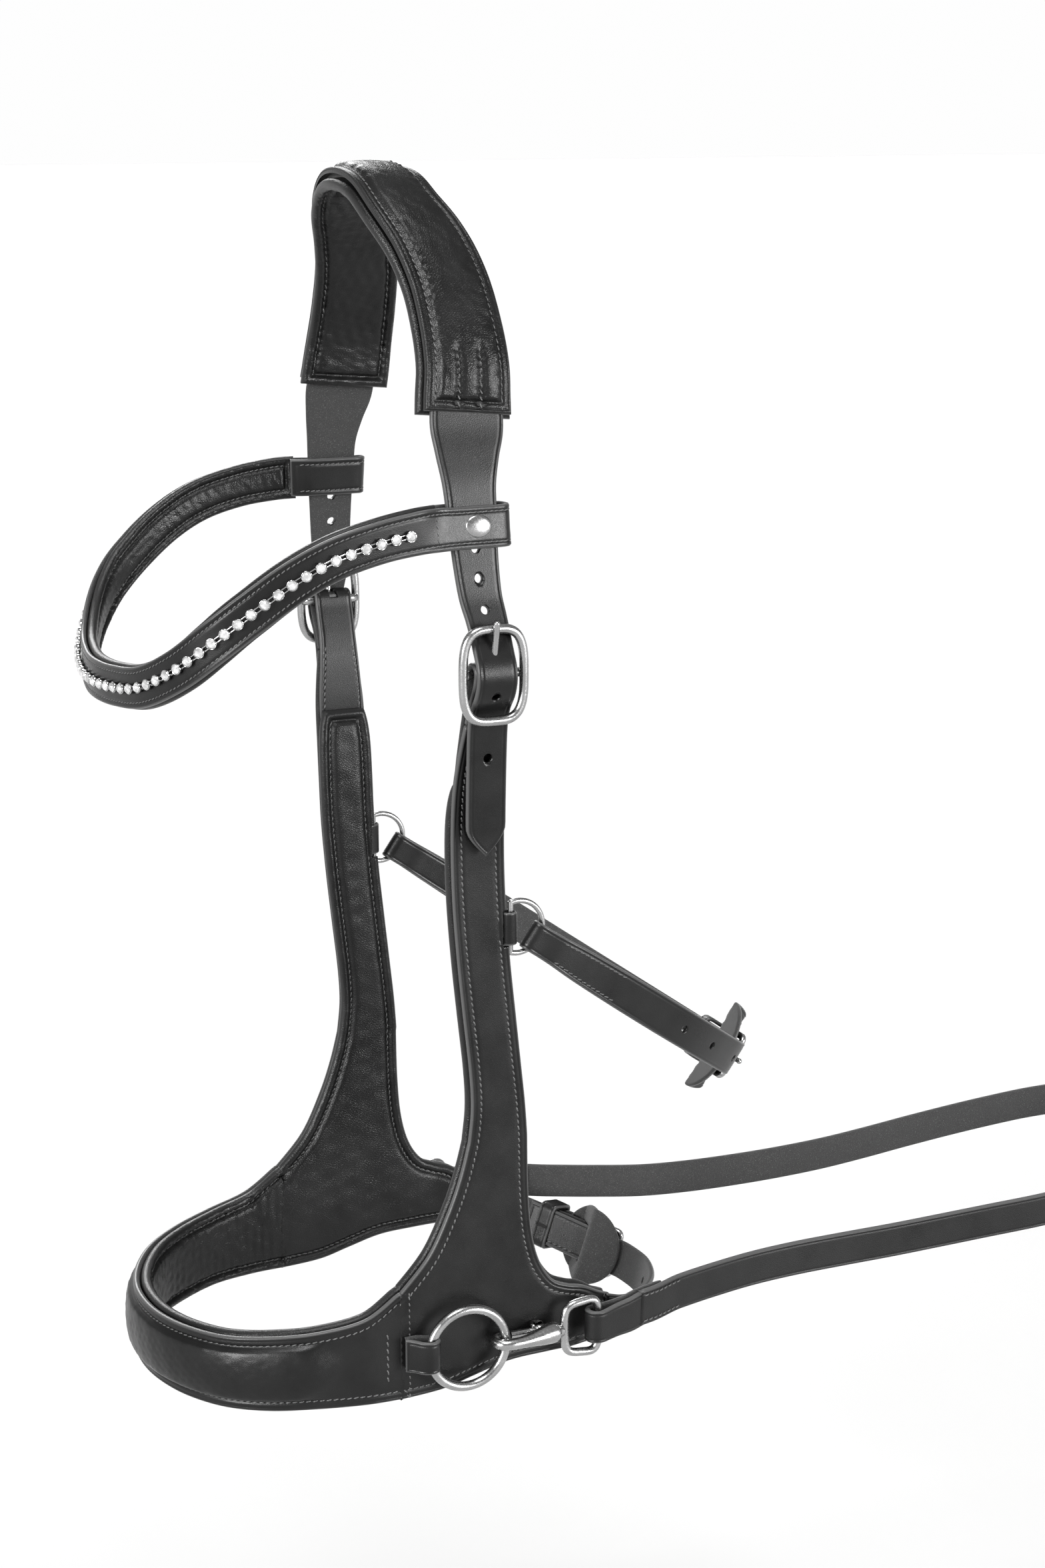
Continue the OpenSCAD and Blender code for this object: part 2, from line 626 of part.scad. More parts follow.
headpiece_strap();
crown_leather();
crown_padding();
browband_leather();
browband_padding();
browband_loop(1);  // browband_loop_left
browband_loop(-1);  // browband_loop_right
crystals();
crystal_cups();
loop_stud();
cheek_leather(1);  // cheek_leather_left
cheek_leather(-1);  // cheek_leather_right
cheek_lining(1);  // cheek_lining_left
cheek_lining(-1);  // cheek_lining_right
noseband_leather();
noseband_padding();
ring_tab(1);  // ring_tab_left
ring_tab(-1);  // ring_tab_right
side_ring(1);  // side_ring_left
side_ring(-1);  // side_ring_right
dee_keeper(1);  // dee_keeper_left
dee_keeper(-1);  // dee_keeper_right
dee_ring(1);  // dee_ring_left
dee_ring(-1);  // dee_ring_right
cheek_buckle(1);  // cheek_buckle_left
cheek_buckle(-1);  // cheek_buckle_right
cheek_tongue(1);  // cheek_tongue_left
cheek_tongue(-1);  // cheek_tongue_right
throat_billet();
throat_chape();
throat_pad();
throat_keeper();
throat_buckle();
throat_tongue();
chin_billet();
chin_chape();
chin_pad();
chin_keeper();
chin_buckle();
chin_tongue();
snap_hook(1);  // snap_hook_left
snap_hook(-1);  // snap_hook_right
snap_gate(1);  // snap_gate_left
snap_gate(-1);  // snap_gate_right
snap_pin(1);  // snap_pin_left
snap_pin(-1);  // snap_pin_right
rein_fold(1);  // rein_fold_left
rein_fold(-1);  // rein_fold_right
rein(1);  // rein_left
rein(-1);  // rein_right
rein_chape();
rein_billet();
rein_buckle();
rein_tongue();
rein_keeper();
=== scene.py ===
"""Bitless show bridle: the looks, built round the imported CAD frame.
Lengths in this script are in mm and turned into metres where meshes are made.
+X is the horse's left, -Y its nose, +Z up; the origin is under the headpiece's top."""
import math

import bmesh
import bpy
import numpy as np
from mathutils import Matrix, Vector, geometry


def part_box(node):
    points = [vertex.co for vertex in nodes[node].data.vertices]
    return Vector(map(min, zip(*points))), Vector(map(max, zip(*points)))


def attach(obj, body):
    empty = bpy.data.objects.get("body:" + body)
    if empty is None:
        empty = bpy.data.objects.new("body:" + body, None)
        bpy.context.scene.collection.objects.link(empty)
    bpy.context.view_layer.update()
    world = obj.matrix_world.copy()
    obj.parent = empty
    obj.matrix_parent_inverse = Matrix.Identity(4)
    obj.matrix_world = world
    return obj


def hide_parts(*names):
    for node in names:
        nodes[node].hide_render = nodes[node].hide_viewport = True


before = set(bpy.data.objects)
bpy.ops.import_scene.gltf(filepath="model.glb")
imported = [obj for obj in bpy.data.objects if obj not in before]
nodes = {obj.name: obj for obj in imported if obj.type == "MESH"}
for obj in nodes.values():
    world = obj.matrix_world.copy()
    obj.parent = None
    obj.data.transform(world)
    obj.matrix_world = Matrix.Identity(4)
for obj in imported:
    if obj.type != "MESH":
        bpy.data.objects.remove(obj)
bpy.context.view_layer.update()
scene = bpy.context.scene
MM = 0.001
DEE = np.array([77.6, 31.4, -290.5])   # centre of the left D-ring's straight side
RING_Z = -467                     # height of the side rings and snaps
BUCKLE_Y, BUCKLE_Z = 14.2, -182   # centre of the cheek buckles
FRONT = -22                       # where a cheek piece runs on into the noseband


# ------------------------------------------------------------------ camera
def make_camera():
    data = bpy.data.cameras.new("camera")
    data.lens, data.sensor_width, data.clip_start = 65.3, 36, 0.01
    cam = bpy.data.objects.new("camera", data)
    scene.collection.objects.link(cam)
    turn, down = math.radians(66.17), math.radians(13.76)
    level = math.cos(down)
    look = Vector((-math.sin(turn) * level, math.cos(turn) * level, -math.sin(down)))
    cam.location = (1.0915, -0.4142, 0.0403)
    cam.rotation_euler = look.to_track_quat("-Z", "Y").to_euler()
    scene.camera = cam


make_camera()


# ------------------------------------------------------------------ materials
def ramp(tree, source, *stops):
    """A ramp of greys over a factor: each stop is a position and a grey."""
    node = tree.nodes.new("ShaderNodeValToRGB")
    tree.links.new(source, node.inputs["Fac"])
    band = node.color_ramp
    for k, (at, grey) in enumerate(stops):
        stop = band.elements[k] if k < 2 else band.elements.new(at)
        stop.position, stop.color = at, (grey, grey, grey, 1)
    return node.outputs["Color"]


class Surface:
    """A material being made, whose textures lie over the object's own coordinates."""

    def __init__(self, name):
        self.mat = bpy.data.materials.new(name)
        self.mat.use_nodes = True
        self.tree = self.mat.node_tree
        self.shader = self.tree.nodes["Principled BSDF"]
        self.where = self.tree.nodes.new("ShaderNodeTexCoord").outputs["Object"]

    def noise(self, scale, detail, roughness=0.5):
        node = self.tree.nodes.new("ShaderNodeTexNoise")
        for key, value in (("Scale", scale), ("Detail", detail), ("Roughness", roughness)):
            node.inputs[key].default_value = value
        self.tree.links.new(self.where, node.inputs["Vector"])
        return node.outputs["Fac"]

    def cells(self, scale):
        node = self.tree.nodes.new("ShaderNodeTexVoronoi")
        node.feature = "DISTANCE_TO_EDGE"
        node.inputs["Scale"].default_value = scale
        self.tree.links.new(self.where, node.inputs["Vector"])
        return node.outputs["Distance"]

    def bump(self, height, distance, strength, before=None):
        node = self.tree.nodes.new("ShaderNodeBump")
        node.inputs["Strength"].default_value = strength
        node.inputs["Distance"].default_value = distance
        self.tree.links.new(height, node.inputs["Height"])
        if before is not None:
            self.tree.links.new(before, node.inputs["Normal"])
        return node.outputs["Normal"]

    def mix(self, factor, a, b, blend="MIX"):
        """Two colours mixed: each of the three is a socket or a plain value."""
        node = self.tree.nodes.new("ShaderNodeMix")
        node.data_type, node.blend_type = "RGBA", blend
        for value, k in ((factor, 0), (a, 6), (b, 7)):
            if isinstance(value, bpy.types.NodeSocket):
                self.tree.links.new(value, node.inputs[k])
            else:
                node.inputs[k].default_value = value
        return node.outputs[2]

    def feed(self, **sources):
        """Links the shader's inputs; a space in an input's name is an underscore here."""
        for key, source in sources.items():
            self.tree.links.new(source, self.shader.inputs[key.replace("_", " ")])

    def fix(self, **values):
        for key, value in values.items():
            self.shader.inputs[key.replace("_", " ")].default_value = value


def leather(name, tone, edge_tone, rough, grain, pebble, coat):
    """Finished leather: pores and pebble at real size, soft tone changes, and edges painted
    lighter, partly as edge wear and partly as a painted highlight along the rounded edges.
    """
    made = Surface(name)
    broad, fine = made.noise(45, 4, 0.6), made.noise(1500, 4, 0.6)
    base = ramp(made.tree, broad, (0.3, tone * 0.7), (0.7, tone * 1.35))
    edge = made.tree.nodes.new("ShaderNodeAttribute")
    edge.attribute_name = "edge"
    # Near an edge the colour is lifted towards edge_tone: partly edge wear, partly a painted
    # highlight along the rounded edge.
    edge_wear_and_highlight = ramp(made.tree, edge.outputs["Fac"], (0.15, 0), (0.9, 1))
    hide = ramp(made.tree, made.cells(pebble), (0, 0), (0.35, 1))
    pores = made.bump(fine, 0.00006, 0.35 * grain)
    made.feed(Base_Color=made.mix(edge_wear_and_highlight, base, (edge_tone, edge_tone, edge_tone, 1)),
              Roughness=ramp(made.tree, broad, (0.3, rough - 0.07), (0.7, rough + 0.08)),
              Normal=made.bump(hide, 0.00007, 0.6 * grain, pores))
    made.fix(Specular_IOR_Level=0.20, Coat_Weight=coat, Coat_Roughness=0.28)
    return made.mat


def flesh_side(name):
    """The rough suede side of a strap, with pale fibre specks."""
    made = Surface(name)
    specks, broad = made.noise(2300, 3, 0.7), made.noise(220, 3)
    fibre = ramp(made.tree, specks, (0.45, 0.008), (0.6, 0.02), (0.72, 0.10))
    nap = ramp(made.tree, broad, (0.3, 0.009), (0.7, 0.014))
    made.feed(Base_Color=made.mix(1.0, fibre, nap, "LIGHTEN"),
              Normal=made.bump(specks, 0.00025, 0.9))
    made.fix(Roughness=0.92, Sheen_Weight=0.12)
    return made.mat


def metal(name, tone, rough, scratch):
    made = Surface(name)
    fine, broad = made.noise(1100, 4, 0.65), made.noise(90, 2)
    made.feed(Base_Color=ramp(made.tree, broad, (0.3, tone * 0.88), (0.7, tone * 1.08)),
              Roughness=ramp(made.tree, fine, (0.35, rough - 0.05), (0.65, rough + 0.07)),
              Normal=made.bump(fine, 0.00003, scratch))
    made.fix(Metallic=1.0)
    return made.mat


def stone_material(name):
    made = Surface(name)
    flecks = made.noise(420, 2)
    made.feed(Base_Color=ramp(made.tree, flecks, (0.35, 0.38), (0.65, 0.68)),
              Roughness=ramp(made.tree, flecks, (0.3, 0.02), (0.7, 0.06)))
    made.fix(Metallic=0.55, IOR=1.75, Coat_Weight=1.0, Coat_Roughness=0.02)
    return made.mat


def thread_material(name):
    made = Surface(name)
    ply = made.noise(2600, 2)
    made.feed(Base_Color=ramp(made.tree, ply, (0.35, 0.015), (0.7, 0.09)),
              Roughness=ramp(made.tree, ply, (0.35, 0.35), (0.7, 0.55)),
              Normal=made.bump(ply, 0.0001, 0.8))
    return made.mat


GRAIN = leather("strap_leather", 0.0045, 0.06, 0.32, 0.6, 1700, 0.08)
NAPPA = leather("nappa", 0.004, 0.015, 0.33, 1.3, 1150, 0.05)
REIN_LEATHER = leather("rein_grain", 0.005, 0.06, 0.42, 0.8, 1500, 0.03)
FLESH = flesh_side("flesh_side")
STEEL = metal("polished_steel", 0.36, 0.24, 0.25)
CHROME = metal("silver_cup", 0.42, 0.12, 0.1)
STONE = stone_material("cut_crystal")
THREAD = thread_material("waxed_thread")


# ------------------------------------------------------------------ routes and frames
def curve(rows, n):
    """The same smooth curve through control rows as the CAD straps follow."""
    rows = np.array(rows, float)
    last = len(rows) - 1
    out = []
    for i in range(last):
        a, b, c, d = rows[max(i - 1, 0)], rows[i], rows[i + 1], rows[min(i + 2, last)]
        for k in range(n):
            t = k / n
            out.append(0.5 * (2 * b + (c - a) * t + (2 * a - 5 * b + 4 * c - d) * t * t
                              + (3 * b - a - 3 * c + d) * t**3))
    return np.array([*out, rows[last]])


def unit(v):
    return v / np.maximum(np.linalg.norm(v, axis=-1, keepdims=True), 1e-12)


def whole(rows):
    """A strap from side to side out of its left half, whose last row is on the centre plane."""
    return [*rows, *[[-r[0], *r[1:]] for r in rows[-2::-1]]]


class Route:
    """A strap's line in space. Each control row is x, y, z, width. ref is near the width's
    direction, one for the whole strap or one for each row; inside is a point behind the strap."""

    def __init__(self, rows, ref=(0, 0, 1), inside=(0, 0, -300), n=14, upright=False):
        rows = np.array(rows, float)
        refs = np.array(ref, float)
        if refs.ndim == 1:
            refs = np.tile(refs, (len(rows), 1))
        line = curve(np.hstack([rows, refs]), n)
        self.p, self.width, refs = line[:, :3], line[:, 3], line[:, 4:7]
        step = np.linalg.norm(np.diff(self.p, axis=0), axis=1)
        self.s = np.concatenate([[0], np.cumsum(step)])
        self.length = self.s[-1]
        t = unit(np.gradient(self.p, self.s, axis=0))
        w = unit(refs) if upright else unit(refs - np.sum(refs * t, 1, keepdims=True) * t)
        up = unit(np.cross(w, t))
        if np.sum((self.p - np.array(inside, float)) * up) < 0:
            up = -up
        self.t, self.w, self.up = t, w, up

    def frame(self, s):
        s = np.asarray(s, float)
        return [np.stack([np.interp(s, self.s, a[:, k]) for k in range(3)], -1)
                for a in (self.p, self.w, self.up)]

    def half(self, s):
        return np.interp(s, self.s, self.width) / 2

    def point(self, s, x, y):
        """x along the width and y outwards from the line, at the distance s along it."""
        p, w, up = self.frame(s)
        return p + w * np.asarray(x, float)[..., None] + up * np.asarray(y, float)[..., None]


# ------------------------------------------------------------------ height profiles
# distances from an edge at which a strap's mesh has its rows of points
STEPS = np.array([0, 0.07, 0.25, 0.6, 1.0, 1.35, 1.7, 2.05, 2.5, 3.0, 3.5, 4.0, 4.6, 5.3, 6.2, 7.4,
                  9.0])


def rounded(d, r):
    return np.sqrt(np.clip(1 - (1 - np.clip(d / r, 0, 1)) ** 2, 0, 1))


def rise(d, a, b):
    t = np.clip((d - a) / (b - a), 0, 1)
    return t * t * (3 - 2 * t)


def groove(d, at, wide):
    return np.exp(-(((d - at) / wide) ** 2))


def wobble(a, b, scale, seed):
    """Smooth seeded noise, about -1 to 1, over two lengths in mm."""
    draw = np.random.default_rng(seed)
    total = 0
    for _ in range(7):
        angle, phase = draw.uniform(0, 2 * math.pi, 2)
        rate = draw.uniform(0.5, 1.6) * 2 * math.pi / scale
        total = total + np.sin(rate * (a * math.cos(angle) + b * math.sin(angle)) + phase)
    return total / 3.2


def strap_faces(top, low, crease=1.7, stitch=None, edge=0.9):
    """Two faces of a plain strap: rounded edges, a tooled crease line and a stitch groove."""
    def faces(d, s, x, spot=None):
        mid, half = (top + low) / 2, (top - low) / 2
        t, b = mid + half * rounded(d, edge), mid - half * rounded(d, edge)
        if crease:
            t = t - 0.24 * groove(d, crease, 0.3)
        if stitch:
            t = t - 0.3 * groove(d, stitch, 0.55)
            b = b + 0.3 * groove(d, stitch, 0.55)
        return t, b
    return faces


def lining_faces(top, low, seed, roll=2.2, stitch=4.3, sink=1.7, amp=0.16, pitch=2.7):
    """Soft padding: a roll along each edge, a sunk stitch row, and a puffed, wrinkled middle."""
    def faces(d, s, x, spot=None):
        mid, half = (top + low) / 2, (top - low) / 2
        u, v = (s, x) if spot is None else (spot[:, 1], spot[:, 0])
        t, b = mid + half * rounded(d, roll), mid - half * rounded(d, roll)
        b = b + sink * groove(d, stitch, 1.15) * rise(d, 0.6, 2.2)
        near = (0.4 if spot is None else 0) + 0.9 * groove(d, stitch, 2.6)
        line = np.sin(2 * math.pi * (s + 1.5 * wobble(u, v * 2.5, 14, seed)) / pitch)
        fold = line * near * (0.55 + 0.45 * wobble(u, v * 3, 9, seed + 1))
        soft = rise(d, 0.2, 2.0)
        deep, wide = (0.9, 5.5) if spot is None else (0.5, 11)
        broad = deep * wobble(u, v, wide, seed + 2)
        return t, b - soft * amp * (fold + broad)
    return faces


# ------------------------------------------------------------------ mesh building
def mesh_object(name, points, faces, mats, face_mats=None, edge=None, smooth=True, tidy=True):
    mesh = bpy.data.meshes.new(name)
    mesh.from_pydata((np.asarray(points) * MM).tolist(), [], [list(map(int, f)) for f in faces])
    for mat in mats:
        mesh.materials.append(mat)
    if face_mats is not None:
        mesh.polygons.foreach_set("material_index", np.asarray(face_mats, np.int32))
    if edge is not None:
        mesh.attributes.new("edge", "FLOAT", "POINT").data.foreach_set(
            "value", np.asarray(edge, np.float32))
    if tidy:
        work = bmesh.new()
        work.from_mesh(mesh)
        bmesh.ops.remove_doubles(work, verts=work.verts, dist=2e-7)
        bmesh.ops.recalc_face_normals(work, faces=work.faces)
        work.to_mesh(mesh)
        work.free()
    mesh.polygons.foreach_set("use_smooth", [smooth] * len(mesh.polygons))
    mesh.update()
    obj = bpy.data.objects.new(name, mesh)
    scene.collection.objects.link(obj)
    return obj


# Nearness to a strap's edge, for the lighter edge colour: partly edge wear, partly a painted
# highlight.
def wear_and_highlight_falloff(d):
    return np.exp(-((d / 0.75) ** 2))


def sweep(name, route, faces, mats, s0=0.0, s1=None, step=2.0, free=(True, True), half=None,
          mids=3):
    """A strap along a route. free says which ends are rounded off like the long edges."""
    s1 = route.length if s1 is None else s1
    n = max(3, int((s1 - s0) / step))
    rows = np.linspace(s0, s1, n + 1)
    for end, sign, is_free in ((s0, 1, free[0]), (s1, -1, free[1])):
        if is_free:
            rows = np.concatenate([rows, end + sign * STEPS[STEPS < (s1 - s0) / 2]])
    rows = np.unique(np.round(rows, 4))
    h = (half or route.half)(rows)
    k = np.minimum(1, h / 10.0)[:, None]
    left = -h[:, None] + STEPS[None, :] * k
    mid = np.linspace(-1, 1, mids + 2)[1:-1][None, :] * (h[:, None] - STEPS[-1] * k)
    x = np.hstack([left, mid, -left[:, ::-1]])
    s = np.repeat(rows[:, None], x.shape[1], 1)
    d = h[:, None] - np.abs(x)
    for end, is_free in ((s0, free[0]), (s1, free[1])):
        if is_free:
            d = np.minimum(d, np.abs(s - end))
    d = np.maximum(d, 0)
    t, b = faces(d, s, x)
    count, across = x.shape
    index = np.arange(count * across).reshape(count, across)
    quads = np.stack([index[:-1, :-1], index[1:, :-1], index[1:, 1:], index[:-1, 1:]], -1)
    quads = quads.reshape(-1, 4)
    points = np.vstack([route.point(s, x, t).reshape(-1, 3), route.point(s, x, b).reshape(-1, 3)])
    all_faces = [quads, quads[:, ::-1] + count * across]
    tags = [0] * len(quads) + [1] * len(quads)
    for row, is_free in ((0, free[0]), (-1, free[1])):
        if not is_free:
            a = index[row]
            cap = np.stack([a[:-1], a[1:], a[1:] + count * across, a[:-1] + count * across], -1)
            all_faces.append(cap)
            tags += [0] * len(cap)
    # The edge attribute carries the lighter edge colour: edge wear plus a painted highlight.
    edge = np.tile(wear_and_highlight_falloff(d).ravel(), 2)
    return mesh_object(name, points, np.vstack(all_faces), mats, tags, edge)


def panel(name, outline, faces, place, mats, pitch=1.6, closed_side=None):
    """A flat-cut piece with an outline in its own plane, rounded at its edges. place turns the
    plane's points and a height into space. closed_side tells which points aren't an edge."""
    outline = np.asarray(outline, float)
    nxt = np.roll(outline, -1, 0)
    if np.sum(outline[:, 0] * nxt[:, 1] - nxt[:, 0] * outline[:, 1]) < 0:
        outline = outline[::-1]
    step = np.linalg.norm(np.roll(outline, -1, 0) - outline, axis=1)
    run = np.concatenate([[0], np.cumsum(step)])
    s = np.linspace(0, run[-1], int(run[-1] / 1.1))[:-1]
    loop = np.vstack([outline, outline[:1]])
    ring = np.stack([np.interp(s, run, loop[:, k]) for k in range(2)], 1)
    is_edge = np.ones(len(ring), bool) if closed_side is None else ~closed_side(ring)
    ahead = unit(np.roll(ring, -1, 0) - np.roll(ring, 1, 0))
    inward = np.stack([-ahead[:, 1], ahead[:, 0]], 1)
    a, b = ring, np.roll(ring, -1, 0)
    live = is_edge & np.roll(is_edge, -1)

    def depth(p):
        """Distance to the nearest live edge, and how far round the outline that is."""
        best, where = np.full(len(p), 1e9), np.zeros(len(p))
        for chunk in np.array_split(np.arange(len(p)), max(1, len(p) // 2000)):
            q = p[chunk][:, None, :]
            ab = (b - a)[None]
            t = np.sum((q - a[None]) * ab, -1) / np.maximum(np.sum(ab * ab, -1), 1e-12)
            t = np.clip(t, 0, 1)
            gap = np.linalg.norm(q - (a[None] + ab * t[..., None]), axis=-1)
            gap[:, ~live] = 1e9
            k = np.argmin(gap, 1)
            best[chunk] = gap[np.arange(len(chunk)), k]
            where[chunk] = s[k] + t[np.arange(len(chunk)), k] * step_at[k]
        return best, where

    step_at = np.linalg.norm(b - a, axis=1)
    low, high = ring.min(0), ring.max(0)
    gx, gy = np.meshgrid(*[np.arange(low[k] + 0.3, high[k], pitch) for k in (0, 1)])
    gx = gx + pitch / 2 * (np.arange(gx.shape[0]) % 2)[:, None]
    grid = np.stack([gx.ravel(), gy.ravel()], 1)
    px, py = grid[:, :1], grid[:, 1:]
    cross = ((a[None, :, 1] > py) != (b[None, :, 1] > py)) & (
        px < (b - a)[None, :, 0] * (py - a[None, :, 1]) / np.where(
            np.abs((b - a)[None, :, 1]) < 1e-12, 1e-12, (b - a)[None, :, 1]) + a[None, :, 0])
    grid = grid[np.sum(cross, 1) % 2 == 1]
    reach = STEPS[-1]
    far, _ = depth(grid)
    keep = [ring, grid[far > reach + 0.5]]
    for off in STEPS[1:]:
        every = 1 if off < 3 else 2
        line = (ring + inward * off)[is_edge][::every]
        gap, _ = depth(line)
        keep.append(line[gap > off - 0.02])
    points = np.vstack(keep)
    n = len(ring)
    made = geometry.delaunay_2d_cdt([Vector(p) for p in points], [], [list(range(n))], 1, 1e-5)
    flat = np.array([[v.x, v.y] for v in made[0]])
    tri = np.array([f for f in made[2] if len(f) == 3])
    d, along = depth(flat)
    d[d < 1e-4] = 0
    t, b_face = faces(d, along, np.minimum(d, 12), flat)
    top, bottom = place(flat, t), place(flat, b_face)
    m = len(flat)
    all_faces = [tri, tri[:, ::-1] + m]
    tags = [0] * len(tri) + [1] * len(tri)
    pairs = {}
    for f in tri:
        for i in range(3):
            u, v = int(f[i]), int(f[(i + 1) % 3])
            pairs[(u, v)] = pairs.get((u, v), 0) + 1
    rim = [(u, v) for (u, v) in pairs if (v, u) not in pairs and (d[u] > 0 or d[v] > 0)]
    if rim:
        all_faces.append(np.array([[u, v, v + m] for u, v in rim]))
        all_faces.append(np.array([[u, v + m, u + m] for u, v in rim]))
        tags += [0] * (2 * len(rim))
    # The edge attribute carries the lighter edge colour: edge wear plus a painted highlight.
    return mesh_object(name, np.vstack([top, bottom]), np.vstack(all_faces), mats, tags,
                       np.tile(wear_and_highlight_falloff(d), 2))


def mirrored(obj, name):
    """The same piece on the other side of the bridle."""
    mesh = obj.data.copy()
    mesh.name = name
    other = bpy.data.objects.new(name, mesh)
    scene.collection.objects.link(other)
    co = np.zeros(len(mesh.vertices) * 3, np.float32)
    mesh.vertices.foreach_get("co", co)
    co[0::3] *= -1
    mesh.vertices.foreach_set("co", co)
    mesh.flip_normals()
    mesh.update()
    return other


def stitches(name, lines, r=0.34, pitch=2.9, lean=14):
    """Saddle stitches along lines of (places, outward directions): each is a short raised thread
    whose ends dip into the leather."""
    at, ahead, out = [], [], []
    for places, ups in lines:
        run = np.concatenate([[0], np.cumsum(np.linalg.norm(np.diff(places, axis=0), axis=1))])
        count = max(1, int(run[-1] / pitch))
        centre = (np.arange(count) + 0.5) * run[-1] / count
        pick = lambda v, s: np.stack([np.interp(s, run, v[:, k]) for k in range(3)], 1)
        at.append(pick(places, centre))
        ahead.append(unit(pick(places, centre + 0.3) - pick(places, centre - 0.3)))
        out.append(unit(pick(ups, centre)))
    at, ahead, out = map(np.vstack, (at, ahead, out))
    side = unit(np.cross(out, ahead))
    turn = math.radians(lean)
    c, s = math.cos(turn), math.sin(turn)
    ahead, side = ahead * c + side * s, side * c - ahead * s
    rings = [(-1.0, 0.45, -0.75), (-0.8, 0.9, -0.1), (-0.35, 1.05, 0.3), (0.35, 1.05, 0.3),
             (0.8, 0.9, -0.1), (1.0, 0.45, -0.75)]
    sides, long = 6, pitch * 0.43
    shape = []
    for u, size, lift in rings:
        for k in range(sides):
            angle = 2 * math.pi * k / sides
            shape.append((u * long, math.cos(angle) * r * size,
                          (math.sin(angle) * size + lift) * r))
    shape = np.array(shape)
    points = (at[:, None] + ahead[:, None] * shape[None, :, :1]
              + side[:, None] * shape[None, :, 1:2] + out[:, None] * shape[None, :, 2:3])
    one = []
    for j in range(len(rings) - 1):
        for k in range(sides):
            p, q = j * sides + k, j * sides + (k + 1) % sides
            one.append((p, q, q + sides, p + sides))
    one = np.array(one)
    quads = (one[None] + (np.arange(len(at)) * len(shape))[:, None, None]).reshape(-1, 4)
    caps = []
    for base in range(0, len(at) * len(shape), len(shape)):
        caps.append([base + k for k in range(sides - 1, -1, -1)])
        caps.append([base + len(shape) - sides + k for k in range(sides)])
    return mesh_object(name, points.reshape(-1, 3), [*quads.tolist(), *caps], [THREAD], tidy=False)


def edge_lines(route, faces, inset, s0, s1, under=False, lift=0.0):
    """Two lines for stitches on a strap's face, one inset from each edge."""
    s = np.linspace(s0, s1, max(8, int((s1 - s0) / 1.2)))
    out, lines = route.frame(s)[2], []
    for side in (-1, 1):
        x = side * (route.half(s) - inset)
        t, b = faces(np.full_like(s, inset), s, x)
        if under:
            lines.append((route.point(s, x, b - lift), -out))
        else:
            lines.append((route.point(s, x, t + lift), out))
    return lines


def cross_line(route, faces, at, x0, x1):
    """A line across a strap at one distance along it."""
    x = np.linspace(x0, x1, 12)
    s = np.full_like(x, at)
    t, _ = faces(route.half(s) - np.abs(x), s, x)
    return route.point(s, x, t), route.frame(s)[2]


def tube(points, r, sides=12, closed=False):
    """Points and faces of a round wire along a line in space."""
    p = np.asarray(points, float)
    t = unit(np.roll(p, -1, 0) - np.roll(p, 1, 0)) if closed else unit(np.gradient(p, axis=0))
    ref = np.array([0.31, 0.17, 0.93])
    w = unit(ref - np.sum(t * ref, 1, keepdims=True) * t)
    v = np.cross(t, w)
    angle = np.arange(sides) * 2 * math.pi / sides
    r = np.broadcast_to(r, len(p))[:, None, None]
    c, s = np.cos(angle)[None, :, None], np.sin(angle)[None, :, None]
    pts = p[:, None] + r * (w[:, None] * c + v[:, None] * s)
    n = len(p)
    faces = []
    for i in range(n if closed else n - 1):
        for k in range(sides):
            a, b = i * sides + k, i * sides + (k + 1) % sides
            c, d = ((i + 1) % n) * sides + (k + 1) % sides, ((i + 1) % n) * sides + k
            faces.append((a, b, c, d))
    if not closed:
        faces.append(tuple(range(sides - 1, -1, -1)))
        faces.append(tuple((n - 1) * sides + k for k in range(sides)))
    return pts.reshape(-1, 3), faces


def joined(parts):
    """One list of points and faces out of several."""
    points, faces, base = [], [], 0
    for p, f in parts:
        points.append(p)
        faces += [tuple(int(i) + base for i in face) for face in f]
        base += len(p)
    return np.vstack(points), faces


def cut(obj, cutters):
    """Takes closed shapes, given as (points, faces), out of a piece, one after another."""
    for points, faces in cutters:
        before = len(obj.data.polygons)
        tool = mesh_object("cutter", points, faces, [])
        mod = obj.modifiers.new("cut", "BOOLEAN")
        mod.operation, mod.object, mod.solver = "DIFFERENCE", tool, "EXACT"
        view = bpy.context.evaluated_depsgraph_get()
        mesh = bpy.data.meshes.new_from_object(obj.evaluated_get(view))
        obj.modifiers.clear()
        if len(mesh.polygons) < 0.6 * before:
            raise ValueError(f"cutting {obj.name} left {len(mesh.polygons)} of {before} faces")
        obj.data = mesh
        bpy.data.objects.remove(tool)
    return obj


def cylinder(a, b, r, sides=20):
    a, b = np.array(a, float), np.array(b, float)
    return tube(np.array([a, b]), r, sides)


def block(low, high, turn=lambda p: p):
    (x0, y0, z0), (x1, y1, z1) = low, high
    p = np.array([[x, y, z] for x in (x0, x1) for y in (y0, y1) for z in (z0, z1)], float)
    return turn(p), [(0, 1, 3, 2), (4, 6, 7, 5), (0, 4, 5, 1), (2, 3, 7, 6), (0, 2, 6, 4),
                     (1, 5, 7, 3)]


def finish_piece(obj, body, slot, *replaced):
    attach(obj, body)
    if replaced:
        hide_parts(*replaced)
    return obj


def finish_pair(obj, slot, *replaced):
    """A left piece of the bridle and its mirror image on the right, which it returns."""
    finish_piece(obj, "bridle", slot, *replaced)
    right = [name.replace("_left", "_right") for name in (obj.name, *replaced)]
    return finish_piece(mirrored(obj, right[0]), "bridle", slot, *right[1:])


def sew(name, lines, body, r=0.34, pitch=2.9):
    return finish_piece(stitches(name, lines, r, pitch), body, "thread")


